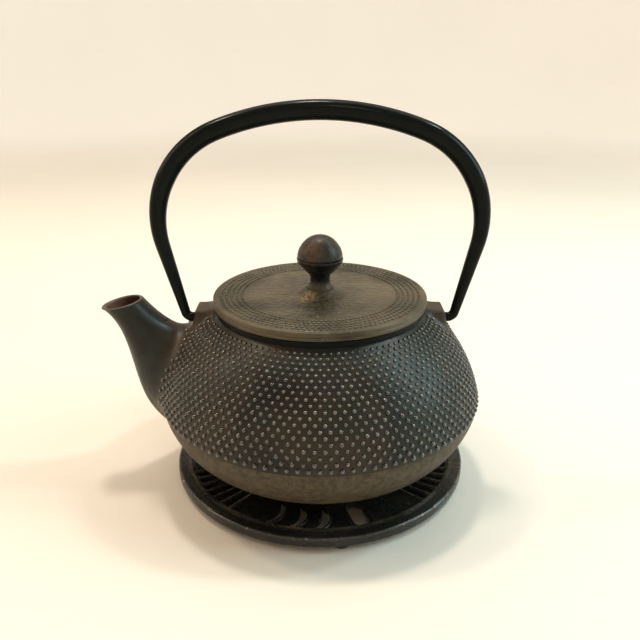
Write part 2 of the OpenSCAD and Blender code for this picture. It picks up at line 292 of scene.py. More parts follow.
class NodeTree:
    """A Geometry Nodes tree with named inputs, and short ways to add its nodes."""

    def __init__(self, name: str) -> None:
        """Start an empty tree that takes and gives geometry.

        Args:
            name: the tree's name.
        """
        self.group = bpy.data.node_groups.new(name, "GeometryNodeTree")
        face = self.group.interface
        face.new_socket("Geometry", in_out="INPUT", socket_type="NodeSocketGeometry")
        face.new_socket("Geometry", in_out="OUTPUT", socket_type="NodeSocketGeometry")
        self.entry = self.group.nodes.new("NodeGroupInput")
        self.exit = self.group.nodes.new("NodeGroupOutput")

    def ask(self, name: str, kind: str, default: float | int | None = None) -> NodeSocket:
        """Add a named input.

        Args:
            name: the input's name.
            kind: socket type, such as NodeSocketFloat.
            default: starting value, if the kind has one.

        Returns:
            The socket that gives the input inside the tree.
        """
        socket = self.group.interface.new_socket(name, in_out="INPUT", socket_type=kind)
        if default is not None:
            socket.default_value = default
        return self.entry.outputs[name]

    def add(self, kind: str, **inputs: object) -> Node:
        """Add a node and set or link its inputs.

        Args:
            kind: node type.
            inputs: values or sockets, by input name with underscores for spaces.

        Returns:
            The new node.
        """
        node = self.group.nodes.new(kind)
        for name, value in inputs.items():
            socket = node.inputs[name.replace("_", " ")]
            if isinstance(value, NodeSocket):
                self.group.links.new(value, socket)
            else:
                socket.default_value = value
        return node

    def attribute(self, name: str, kind: str) -> NodeSocket:
        """Read a named attribute of the points.

        Args:
            name: the attribute's name.
            kind: its data type, such as FLOAT.

        Returns:
            The attribute's value.
        """
        node = self.group.nodes.new("GeometryNodeInputNamedAttribute")
        node.data_type = kind
        node.inputs["Name"].default_value = name
        return node.outputs["Attribute"]

    def math(self, operation: str, a: NodeSocket | float, b: NodeSocket | float) -> NodeSocket:
        """Combine two values.

        Args:
            operation: name of the Math node's operation.
            a: first value or number.
            b: second value or number.

        Returns:
            The result.
        """
        node = self.group.nodes.new("ShaderNodeMath")
        node.operation = operation
        for value, socket in ((a, node.inputs[0]), (b, node.inputs[1])):
            if isinstance(value, NodeSocket):
                self.group.links.new(value, socket)
            else:
                socket.default_value = value
        return node.outputs[0]

    def finish(self, geometry: NodeSocket, look: NodeSocket) -> None:
        """End the tree in Realize Instances and Set Material.

        Args:
            geometry: what the tree has made.
            look: the material input.
        """
        smooth = self.add("GeometryNodeSetShadeSmooth", Geometry=geometry)
        real = self.add("GeometryNodeRealizeInstances", Geometry=smooth.outputs[0])
        dressed = self.add("GeometryNodeSetMaterial", Geometry=real.outputs[0], Material=look)
        self.group.links.new(dressed.outputs[0], self.exit.inputs[0])

    def apply(self, name: str, base: Mesh, values: dict[str, object]) -> Object:
        """Run the tree over a base mesh and keep the result as a plain mesh.

        Args:
            name: name of the finished piece.
            base: points or edges that the tree works on.
            values: the tree's inputs by name.

        Returns:
            The finished piece, with no modifier.
        """
        carrier = bpy.data.objects.new(f"{name}_carrier", base)
        bpy.context.scene.collection.objects.link(carrier)
        modifier = carrier.modifiers.new(name, "NODES")
        modifier.node_group = self.group
        for item in self.group.interface.items_tree:
            if item.in_out == "INPUT" and item.name in values:
                modifier[item.identifier] = values[item.name]
        carrier.update_tag()
        evaluated = carrier.evaluated_get(bpy.context.evaluated_depsgraph_get())
        mesh = bpy.data.meshes.new_from_object(evaluated)
        mesh.name = name
        bpy.data.objects.remove(carrier)
        piece = bpy.data.objects.new(name, mesh)
        bpy.context.scene.collection.objects.link(piece)
        return piece


def stud_tree() -> NodeTree:
    """Build the tree that seats a round stud on every point.

    Returns:
        A tree with inputs for the stud's size, its spread in size and the seed.
    """
    tree = NodeTree("round_studs")
    radius = tree.ask("Stud Radius", "NodeSocketFloat", 1.2 * MM)
    sink = tree.ask("Stud Sink", "NodeSocketFloat", 0.4 * MM)
    sides = tree.ask("Stud Sides", "NodeSocketInt", 8)
    spread = tree.ask("Size Spread", "NodeSocketFloat", 0.1)
    seed = tree.ask("Seed", "NodeSocketInt", 1)
    look = tree.ask("Material", "NodeSocketMaterial")
    ball_rings = 6
    ball = tree.add("GeometryNodeMeshUVSphere", Segments=sides, Rings=ball_rings, Radius=radius)
    place = tree.group.nodes.new("GeometryNodeInputPosition")
    parts = tree.add("ShaderNodeSeparateXYZ", Vector=place.outputs[0])
    marked = tree.add("GeometryNodeStoreNamedAttribute", Geometry=ball.outputs[0], Name="tip")
    marked.data_type = "FLOAT"
    marked.domain = "POINT"
    tree.group.links.new(tree.math("DIVIDE", parts.outputs["Z"], radius), marked.inputs["Value"])
    offset = tree.add("ShaderNodeCombineXYZ", Z=tree.math("MULTIPLY", sink, -1))
    seated = tree.add("GeometryNodeTransform", Geometry=marked.outputs[0], Translation=offset.outputs[0])
    chance = tree.group.nodes.new("FunctionNodeRandomValue")
    chance.data_type = "FLOAT"
    tree.group.links.new(tree.math("SUBTRACT", 1, spread), chance.inputs[2])
    tree.group.links.new(tree.math("ADD", 1, spread), chance.inputs[3])
    tree.group.links.new(seed, chance.inputs["Seed"])
    size = tree.math("MULTIPLY", tree.attribute("size", "FLOAT"), chance.outputs[1])
    turn = tree.add("FunctionNodeAlignRotationToVector", Vector=tree.attribute("outward", "FLOAT_VECTOR"))
    turn.axis = "Z"
    placed = tree.add(
        "GeometryNodeInstanceOnPoints",
        Points=tree.entry.outputs["Geometry"],
        Instance=seated.outputs[0],
        Rotation=turn.outputs[0],
        Scale=size,
    )
    tree.finish(placed.outputs[0], look)
    return tree


class RodTurn(Enum):
    """How a rod's section is turned along its line."""

    STEADY = "MINIMUM_TWIST"
    UPRIGHT = "Z_UP"


def rod_tree(turn: RodTurn) -> NodeTree:
    """Build the tree that gives every line of edges a round or flattened rod.

    Args:
        turn: how the section is turned along the line.

    Returns:
        A tree with inputs for the number of sides and the section's flatness.
    """
    tree = NodeTree(f"rods_{turn.name.lower()}")
    sides = tree.ask("Sides", "NodeSocketInt", 12)
    flat = tree.ask("Flatness", "NodeSocketFloat", 1.0)
    look = tree.ask("Material", "NodeSocketMaterial")
    line = tree.add("GeometryNodeMeshToCurve", Mesh=tree.entry.outputs["Geometry"])
    guided = tree.add("GeometryNodeSetCurveNormal", Curve=line.outputs[0])
    guided.mode = turn.value
    section = tree.add("GeometryNodeCurvePrimitiveCircle", Resolution=sides, Radius=1.0)
    scale = tree.add("ShaderNodeCombineXYZ", X=1.0, Y=flat, Z=1.0)
    pressed = tree.add("GeometryNodeTransform", Geometry=section.outputs[0], Scale=scale.outputs[0])
    rod = tree.add(
        "GeometryNodeCurveToMesh",
        Curve=guided.outputs[0],
        Profile_Curve=pressed.outputs[0],
        Scale=tree.attribute("rod_radius", "FLOAT"),
        Fill_Caps=True,
    )
    tree.finish(rod.outputs[0], look)
    return tree


def point_mesh(name: str, places: np.ndarray, outward: np.ndarray, size: np.ndarray) -> Mesh:
    """Make the points that studs are seated on.

    Args:
        name: mesh name.
        places: stud places, in millimetres.
        outward: direction that each stud stands in.
        size: relative size of each stud.

    Returns:
        A mesh of loose points with its attributes.
    """
    mesh = bpy.data.meshes.new(name)
    mesh.from_pydata((places * MM).tolist(), [], [])
    mesh.attributes.new("outward", "FLOAT_VECTOR", "POINT").data.foreach_set(
        "vector", outward.astype(np.float32).ravel()
    )
    mesh.attributes.new("size", "FLOAT", "POINT").data.foreach_set("value", size.astype(np.float32))
    return mesh


def line_mesh(name: str, lines: Sequence[np.ndarray], radii: Sequence[np.ndarray], closed: bool) -> Mesh:
    """Make the lines of edges that rods run along.

    Args:
        name: mesh name.
        lines: points of each line, in millimetres.
        radii: rod radius at each point, in millimetres.
        closed: True where every line is a ring.

    Returns:
        A mesh of edges with its attribute.
    """
    edges: list[tuple[int, int]] = []
    start = 0
    for line in lines:
        count = len(line)
        edges += [(start + i, start + i + 1) for i in range(count - 1)]
        if closed:
            edges.append((start + count - 1, start))
        start += count
    mesh = bpy.data.meshes.new(name)
    mesh.from_pydata((np.vstack(lines) * MM).tolist(), edges, [])
    radius = np.concatenate(radii) * MM
    mesh.attributes.new("rod_radius", "FLOAT", "POINT").data.foreach_set("value", radius.astype(np.float32))
    return mesh


# ------------------------------------------------------------------ finishes


class Shader:
    """A material's node tree, with short ways to add what the finishes share."""

    def __init__(self, name: str) -> None:
        """Start a material with a Principled shader and object coordinates.

        Args:
            name: the material's name.
        """
        self.material = bpy.data.materials.new(name)
        self.material.use_nodes = True
        self.tree = self.material.node_tree
        self.surface = self.tree.nodes["Principled BSDF"]
        self.place = self.tree.nodes.new("ShaderNodeTexCoord").outputs["Object"]

    def link(self, source: NodeSocket, target: NodeSocket | str) -> None:
        """Link a socket to another, or to the surface's input of that name."""
        end = self.surface.inputs[target] if isinstance(target, str) else target
        self.tree.links.new(source, end)

    def set(self, **values: float | Colour) -> None:
        """Set the surface's own sockets.

        Args:
            values: numbers or colours, by socket name with underscores for spaces.
        """
        for name, value in values.items():
            full = (*value, 1.0) if isinstance(value, tuple) else value
            self.surface.inputs[name.replace("_", " ")].default_value = full

    def noise(self, size_mm: float, detail: float = 3, rough: float = 0.55, warp: float = 0) -> NodeSocket:
        """Cloudy noise.

        Args:
            size_mm: size of its largest lumps.
            detail: number of finer layers.
            rough: strength of the finer layers.
            warp: distortion.

        Returns:
            The noise value.
        """
        node = self.tree.nodes.new("ShaderNodeTexNoise")
        node.inputs["Scale"].default_value = 1 / (size_mm * MM)
        node.inputs["Detail"].default_value = detail
        node.inputs["Roughness"].default_value = rough
        node.inputs["Distortion"].default_value = warp
        self.link(self.place, node.inputs["Vector"])
        return node.outputs["Fac"]

    def cells(self, size_mm: float, smooth: float = 0.6) -> NodeSocket:
        """Round cells, as on a hammered or pitted face.

        Args:
            size_mm: distance between cells.
            smooth: softness of the borders.

        Returns:
            Distance from the nearest cell's middle.
        """
        node = self.tree.nodes.new("ShaderNodeTexVoronoi")
        node.feature = "SMOOTH_F1"
        node.inputs["Scale"].default_value = 1 / (size_mm * MM)
        node.inputs["Smoothness"].default_value = smooth
        self.link(self.place, node.inputs["Vector"])
        return node.outputs["Distance"]

    def remap(
        self, value: NodeSocket, start: float, end: float, low: float = 0, high: float = 1
    ) -> NodeSocket:
        """Map a stretch of values smoothly onto another.

        Args:
            value: what is mapped.
            start: value that gives low.
            end: value that gives high.
            low: result at start.
            high: result at end.

        Returns:
            The mapped value.
        """
        node = self.tree.nodes.new("ShaderNodeMapRange")
        node.interpolation_type = "SMOOTHSTEP"
        for name, number in (("From Min", start), ("From Max", end), ("To Min", low), ("To Max", high)):
            node.inputs[name].default_value = number
        self.link(value, node.inputs["Value"])
        return node.outputs["Result"]

    def math(self, operation: str, a: NodeSocket, b: NodeSocket | float) -> NodeSocket:
        """Combine two values.

        Args:
            operation: name of the Math node's operation.
            a: first value.
            b: second value or number.

        Returns:
            The result.
        """
        node = self.tree.nodes.new("ShaderNodeMath")
        node.operation = operation
        self.link(a, node.inputs[0])
        if isinstance(b, NodeSocket):
            self.link(b, node.inputs[1])
        else:
            node.inputs[1].default_value = b
        return node.outputs[0]

    def blend(self, factor: NodeSocket, a: NodeSocket | Colour, b: NodeSocket | Colour) -> NodeSocket:
        """Mix two colours.

        Args:
            factor: 0 gives a and 1 gives b.
            a: first colour.
            b: second colour.

        Returns:
            The mixed colour.
        """
        node = self.tree.nodes.new("ShaderNodeMix")
        node.data_type = "RGBA"
        self.link(factor, node.inputs[0])
        for value, socket in ((a, node.inputs[6]), (b, node.inputs[7])):
            if isinstance(value, NodeSocket):
                self.link(value, socket)
            else:
                socket.default_value = (*value, 1.0)
        return node.outputs[2]

    def relief(self, *layers: tuple[NodeSocket, float]) -> None:
        """Stack bump layers and feed them to the surface.

        Args:
            layers: pairs of a height from 0 to 1 and its depth in millimetres.
        """
        normal = None
        for height, depth in layers:
            node = self.tree.nodes.new("ShaderNodeBump")
            node.inputs["Distance"].default_value = depth * MM
            self.link(height, node.inputs["Height"])
            if normal:
                self.link(normal, node.inputs["Normal"])
            normal = node.outputs["Normal"]
        self.link(normal, "Normal")

    def carried(self, name: str) -> NodeSocket:
        """Value of an attribute that the mesh carries.

        Args:
            name: the attribute's name.

        Returns:
            Its value.
        """
        node = self.tree.nodes.new("ShaderNodeAttribute")
        node.attribute_name = name
        return node.outputs["Fac"]

    def height(self) -> NodeSocket:
        """Height above the table, in metres."""
        return self.axes().outputs["Z"]

    def axes(self) -> Node:
        """Split the object coordinates into X, Y and Z."""
        node = self.tree.nodes.new("ShaderNodeSeparateXYZ")
        self.link(self.place, node.inputs[0])
        return node

    def axis_distance(self) -> NodeSocket:
        """Distance from the vertical axis, in metres."""
        split = self.axes()
        x2 = self.math("MULTIPLY", split.outputs["X"], split.outputs["X"])
        y2 = self.math("MULTIPLY", split.outputs["Y"], split.outputs["Y"])
        return self.math("SQRT", self.math("ADD", x2, y2), 0.0)

    def near(self, centre: Sequence[float], reach_mm: float) -> NodeSocket:
        """Soft round spot on the surface.

        Args:
            centre: middle of the spot, in millimetres.
            reach_mm: distance at which it fades out.

        Returns:
            1 in the middle and 0 outside.
        """
        node = self.tree.nodes.new("ShaderNodeVectorMath")
        node.operation = "DISTANCE"
        self.link(self.place, node.inputs[0])
        node.inputs[1].default_value = [c * MM for c in centre]
        return self.remap(node.outputs["Value"], 0.0, reach_mm * MM, 1.0, 0.0)


@dataclass(frozen=True)
class CastIron:
    """Sand-cast iron with a patina that varies in cloudy patches."""

    name: str
    deep: Colour = (0.009, 0.008, 0.006)
    patina: Colour = (0.033, 0.022, 0.012)
    bloom: Colour = (0.017, 0.019, 0.013)
    grain_mm: float = 0.55
    grain_depth: float = 0.05
    rough_low: float = 0.32
    rough_high: float = 0.46
    specular: float = 0.3

    def base(self, shader: Shader) -> NodeSocket:
        """Lay the patina colour.

        Args:
            shader: the material in the making.

        Returns:
            The colour, for a finish that adds to it.
        """
        clouds = shader.remap(shader.noise(38, 4, 0.6, 0.4), 0.36, 0.64)
        tone = shader.blend(clouds, self.deep, self.patina)
        cool = shader.remap(shader.noise(21, 3, 0.5, 0.3), 0.5, 0.72)
        tone = shader.blend(cool, tone, self.bloom)
        specks = shader.remap(shader.noise(0.9, 2, 0.6), 0.58, 0.72, 0.0, 0.55)
        return shader.blend(specks, tone, self.patina)

    def gloss(self, shader: Shader) -> NodeSocket:
        """Roughness that varies with wear and handling."""
        return shader.remap(shader.noise(9, 5, 0.65), 0.3, 0.7, self.rough_low, self.rough_high)

    def grain(self, shader: Shader) -> tuple[tuple[NodeSocket, float], ...]:
        """Fine sand grain over slow waviness of the mould.

        Args:
            shader: the material in the making.

        Returns:
            Pairs of a height and its depth in millimetres.
        """
        waves = shader.noise(7, 2, 0.5)
        sand = shader.noise(self.grain_mm, 4, 0.65)
        return ((waves, self.grain_depth * 4), (sand, self.grain_depth))

    def finished(
        self, shader: Shader, tone: NodeSocket, rough: NodeSocket | None = None,
        layers: Sequence[tuple[NodeSocket, float]] | None = None,
    ) -> Material:
        """Feed colour, roughness and relief to the surface.

        Args:
            shader: the material in the making.
            tone: its colour.
            rough: its roughness, where it isn't the plain gloss.
            layers: its relief, where it isn't the plain grain.

        Returns:
            The material.
        """
        shader.link(tone, "Base Color")
        shader.link(self.gloss(shader) if rough is None else rough, "Roughness")
        shader.set(Metallic=0.0, IOR=1.5, Specular_IOR_Level=self.specular)
        shader.relief(*(self.grain(shader) if layers is None else layers))
        return shader.material

    def build(self) -> Material:
        """Make the material."""
        shader = Shader(self.name)
        return self.finished(shader, self.base(shader))


@dataclass(frozen=True)
class StudIron(CastIron):
    """Iron of the raised dots: near black round the foot as painted shade, and lighter at the tip as rubbed
    wear and a painted highlight.
    """

    # rubbed is the lighter tip colour: partly rubbed wear, partly a painted highlight
    rubbed: Colour = (0.165, 0.128, 0.082)
    rubbed_from: float = 0.72
    rubbed_to: float = 1.0
    # foot is the near-black painted shade where each dot meets the surface
    foot: Colour = (0.002, 0.002, 0.002)
    foot_from: float = 0.74
    foot_to: float = 0.40

    def build(self) -> Material:
        """Make the material."""
        shader = Shader(self.name)
        tip = shader.carried("tip")
        # Painted shade: each dot is blended towards the foot colour near its base
        tone = shader.blend(shader.remap(tip, self.foot_from, self.foot_to), self.base(shader), self.foot)
        # The tip is lightened as rubbed wear and a painted highlight, patchy from stud to stud
        handled = shader.remap(shader.noise(11, 3, 0.6), 0.36, 0.62, 0.35, 1.0)
        bare = shader.math("MULTIPLY", shader.remap(tip, self.rubbed_from, self.rubbed_to), handled)
        layers = ((shader.noise(self.grain_mm, 3, 0.6), self.grain_depth),)
        return self.finished(shader, shader.blend(bare, tone, self.rubbed), layers=layers)


@dataclass(frozen=True)
class PotIron(CastIron):
    """Cast iron of the pot: sandy band under the studs, greener spout, brown lugs and a painted teal
    reflection towards +X.
    """

    band: Colour = (0.084, 0.062, 0.030)
    band_top: float = 43.0
    band_soft: float = 0.25
    band_matte: float = 0.14
    spout: Colour = (0.015, 0.019, 0.012)
    spout_from: float = -68.0
    spout_to: float = -82.0
    lugs: Colour = (0.058, 0.030, 0.011)
    lug_at: tuple[float, float] = (56.0, 84.0)
    lug_reach: float = 21.0
    # Teal tint of the painted reflection on the +X side of the pot
    teal: Colour = (0.010, 0.020, 0.017)
    teal_from: float = 5.0
    teal_to: float = 60.0

    def build(self) -> Material:
        """Make the material."""
        shader = Shader(self.name)
        tone = self.base(shader)
        # Painted reflection: the pot is tinted teal towards +X, where it reflects the cool light
        east = shader.remap(shader.axes().outputs["X"], self.teal_from * MM, self.teal_to * MM, 0.0, 0.8)
        tone = shader.blend(east, tone, self.teal)
        sandy = shader.blend(shader.remap(shader.noise(2.4, 4, 0.7), 0.35, 0.65), self.band, self.patina)
        over, under = (self.band_top + self.band_soft) * MM, (self.band_top - self.band_soft) * MM
        below = shader.remap(shader.height(), over, under)
        tone = shader.blend(below, tone, sandy)
        for side in (-1, 1):
            by_lug = shader.near((side * self.lug_at[0], 0.0, self.lug_at[1]), self.lug_reach)
            tone = shader.blend(shader.math("MULTIPLY", by_lug, 0.85), tone, self.lugs)
        out = shader.remap(shader.axes().outputs["X"], self.spout_from * MM, self.spout_to * MM)
        smoky = shader.blend(shader.remap(shader.noise(14, 4, 0.6), 0.4, 0.65), self.spout, self.deep)
        above = shader.remap(shader.height(), under, over)
        tone = shader.blend(shader.math("MULTIPLY", out, above), tone, smoky)
        matte = shader.math("MULTIPLY", below, self.band_matte)
        return self.finished(shader, tone, shader.math("ADD", self.gloss(shader), matte))


@dataclass(frozen=True)
class TrivetIron(CastIron):
    """Black iron of the trivet, lighter along its raised line as rubbed wear and a painted highlight, with
    a painted highlight along its outer top edge, and chipped on its outer edge.
    """

    line_r: tuple[float, float] = (66.9, 68.5)
    edge_r: float = 72.0
    edge_z: float = 7.4
    # rubbed lightens the raised line, as wear and painted highlight, and the outer top edge, as painted
    # highlight
    rubbed: Colour = (0.075, 0.058, 0.038)
    chip: Colour = (0.42, 0.38, 0.31)

    def build(self) -> Material:
        """Make the material."""
        shader = Shader(self.name)
        tone = self.base(shader)
        across, level = shader.axis_distance(), shader.height()
        low, high = (r * MM for r in self.line_r)
        soft = 0.3 * MM
        risen, fallen = shader.remap(across, low - soft, low), shader.remap(across, high, high - soft)
        on_line = shader.math("MULTIPLY", risen, fallen)
        patchy = shader.remap(shader.noise(16, 4, 0.6), 0.42, 0.62, 0.15, 1.0)
        # The raised line is lightened in patches, as rubbed wear and a painted highlight
        tone = shader.blend(shader.math("MULTIPLY", on_line, patchy), tone, self.rubbed)
        rim = shader.remap(across, (self.edge_r - 0.9) * MM, (self.edge_r - 0.2) * MM)
        rim = shader.math("MULTIPLY", rim, shader.remap(level, (self.edge_z - 0.9) * MM, self.edge_z * MM))
        # Painted highlight: the outer top edge is lightened in a thin line
        tone = shader.blend(shader.math("MULTIPLY", rim, 0.5), tone, self.rubbed)
        chips = shader.math("MULTIPLY", rim, shader.remap(shader.noise(2.6, 3, 0.7), 0.60, 0.66))
        return self.finished(shader, shader.blend(chips, tone, self.chip))


@dataclass(frozen=True)
class LidIron(CastIron):
    """Brown-grey worn iron of the lid, hammered inside its dotted border."""

    hammered_r: float = 38.0
    dent_mm: float = 1.9
    dent_depth: float = 0.45
    rust: Colour = (0.16, 0.075, 0.022)
    gold: Colour = (0.42, 0.27, 0.12)
    # Near-black colour of the knob's painted reflection on the lid
    soot: Colour = (0.006, 0.006, 0.005)
    top: float = 95.0

    def build(self) -> Material:
        """Make the material."""
        shader = Shader(self.name)
        tone = self.base(shader)
        worn = shader.remap(shader.noise(3.2, 5, 0.7, 0.6), 0.5, 0.66, 0.0, 0.7)
        tone = shader.blend(worn, tone, self.patina)
        inside = shader.remap(shader.axis_distance(), self.hammered_r * MM, (self.hammered_r - 3) * MM)
        # Painted reflection: a dark, speckled spot in front of the knob stands in for its reflection on the
        # lid
        dark = shader.near((1.0, -19.0, self.top), 21)
        soot = shader.math("MULTIPLY", dark, shader.remap(shader.noise(1.5, 4, 0.75), 0.42, 0.56, 0.0, 1.0))
        tone = shader.blend(soot, tone, self.soot)
        patch = shader.near((-6.0, -9.0, self.top + 1), 7)
        flecks = shader.math("MULTIPLY", patch, shader.remap(shader.noise(0.8, 2, 0.6), 0.47, 0.55))
        tone = shader.blend(flecks, tone, self.gold)
        spots = shader.remap(shader.noise(1.5, 2, 0.5), 0.66, 0.72, 0.0, 0.6)
        tone = shader.blend(shader.math("MULTIPLY", spots, inside), tone, self.rust)
        dents = shader.math("MULTIPLY", shader.cells(self.dent_mm), inside)
        return self.finished(shader, tone, layers=((dents, self.dent_depth), *self.grain(shader)))


@dataclass(frozen=True)
class Lacquer:
    """Gloss black lacquer over metal, with a faint ripple and worn spots."""

    name: str
    colour: Colour = (0.005, 0.007, 0.006)
    cloud: Colour = (0.009, 0.010, 0.009)
    worn: Colour = (0.060, 0.038, 0.022)
    worn_at: tuple[float, float, float] | None = None
    worn_reach: float = 8.0
    crown: Colour = (0.034, 0.030, 0.020)
    crown_z: float | None = None
    foot: Colour = (0.062, 0.047, 0.027)
    foot_z: float = 0.0
    rough: float = 0.17
    specular: float = 0.10
    ripple: float = 0.03

    def build(self) -> Material:
        """Make the material."""
        shader = Shader(self.name)
        clouds = shader.remap(shader.noise(12, 3, 0.5), 0.35, 0.65, 0.0, 0.35)
        tone = shader.blend(clouds, self.colour, self.cloud)
        specks = shader.remap(shader.noise(0.7, 2, 0.5), 0.7, 0.76, 0.0, 0.7)
        tone = shader.blend(specks, tone, self.worn)
        rough = shader.remap(shader.noise(3, 4, 0.6), 0.3, 0.7, self.rough * 0.8, self.rough * 1.5)
        if self.crown_z:
            level = shader.height()
            above = shader.remap(level, (self.crown_z - 0.6) * MM, (self.crown_z + 1.2) * MM)
            below = shader.remap(level, (self.foot_z + 4.2) * MM, (self.foot_z + 1.6) * MM)
            clouded = shader.remap(shader.noise(3.5, 4, 0.65), 0.3, 0.6, 0.25, 1.0)
            mottled = shader.math("MULTIPLY", above, clouded)
            tone = shader.blend(mottled, tone, self.crown)
            tone = shader.blend(below, tone, self.foot)
            dulled = shader.math("MULTIPLY", shader.math("MAXIMUM", above, below), 0.16)
            rough = shader.math("ADD", rough, dulled)
        if self.worn_at:
            rubbed = shader.near(self.worn_at, self.worn_reach)
            patchy = shader.math("MULTIPLY", rubbed, shader.remap(shader.noise(1.8, 4, 0.7), 0.36, 0.56))
            tone = shader.blend(patchy, tone, self.worn)
            rough = shader.math("ADD", rough, shader.math("MULTIPLY", patchy, 0.2))
        shader.link(tone, "Base Color")
        shader.link(rough, "Roughness")
        shader.set(Metallic=0.0, IOR=1.45, Specular_IOR_Level=self.specular)
        slow, fine = shader.noise(5, 2, 0.4), shader.noise(0.8, 3, 0.6)
        shader.relief((slow, self.ripple * 3), (fine, self.ripple * 0.3))
        return shader.material


@dataclass(frozen=True)
class Rubber:
    """Matte black rubber with a moulded grain."""

    name: str
    black: Colour = (0.012, 0.012, 0.012)
    dusty: Colour = (0.05, 0.048, 0.045)

    def build(self) -> Material:
        """Make the material."""
        shader = Shader(self.name)
        dust = shader.remap(shader.noise(1.1, 4, 0.6), 0.45, 0.75, 0.0, 0.6)
        shader.link(shader.blend(dust, self.black, self.dusty), "Base Color")
        shader.link(shader.remap(shader.noise(2, 3, 0.5), 0.3, 0.7, 0.6, 0.8), "Roughness")
        shader.relief((shader.noise(0.25, 2, 0.5), 0.02))
        return shader.material


@dataclass(frozen=True)
class Steel:
    """Stainless steel with fine marks and a light tea stain."""

    name: str
    colour: Colour = (0.58, 0.57, 0.55)
    stain: Colour = (0.30, 0.21, 0.12)
    rough: float = 0.26

    def build(self) -> Material:
        """Make the material."""
        shader = Shader(self.name)
        tea = shader.remap(shader.noise(6, 4, 0.65), 0.52, 0.78, 0.0, 0.45)
        shader.link(shader.blend(tea, self.colour, self.stain), "Base Color")
        marks = shader.noise(0.5, 4, 0.7)
        shader.link(shader.remap(marks, 0.3, 0.7, self.rough * 0.75, self.rough * 1.4), "Roughness")
        shader.set(Metallic=1.0)
        shader.relief((marks, 0.012))
        return shader.material


@dataclass(frozen=True)
class Enamel:
    """Black enamel that lines the pot."""

    name: str
    black: Colour = (0.012, 0.012, 0.013)
    cloud: Colour = (0.030, 0.027, 0.024)

    def build(self) -> Material:
        """Make the material."""
        shader = Shader(self.name)
        clouds = shader.remap(shader.noise(14, 3, 0.5), 0.35, 0.7)
        shader.link(shader.blend(clouds, self.black, self.cloud), "Base Color")
        shader.link(shader.remap(shader.noise(2, 3, 0.6), 0.3, 0.7, 0.28, 0.42), "Roughness")
        shader.relief((shader.noise(2.2, 3, 0.5), 0.12))
        return shader.material


# ------------------------------------------------------------------ casting


def smooth_min(a: np.ndarray, b: np.ndarray, reach: float) -> np.ndarray:
    """Join two distance fields with a fillet.

    Args:
        a: first distances.
        b: second distances.
        reach: size of the fillet.

    Returns:
        The joined distances.
    """
    near = np.maximum(reach - np.abs(a - b), 0) / reach
    return np.minimum(a, b) - near * near * reach / 4


def smooth_max(a: np.ndarray, b: np.ndarray, reach: float) -> np.ndarray:
    """Cut one distance field by another with a rounded edge."""
    return -smooth_min(-a, -b, reach)


def bezier(controls: Sequence[Point], t: np.ndarray) -> np.ndarray:
    """Points on a cubic curve.

    Args:
        controls: its four control points.
        t: places along it, 0 to 1.

    Returns:
        One point for each place.
    """
    p = np.array(controls)
    s = np.asarray(t)[..., None]
    return (1 - s) ** 3 * p[0] + 3 * s * (1 - s) ** 2 * p[1] + 3 * s**2 * (1 - s) * p[2] + s**3 * p[3]


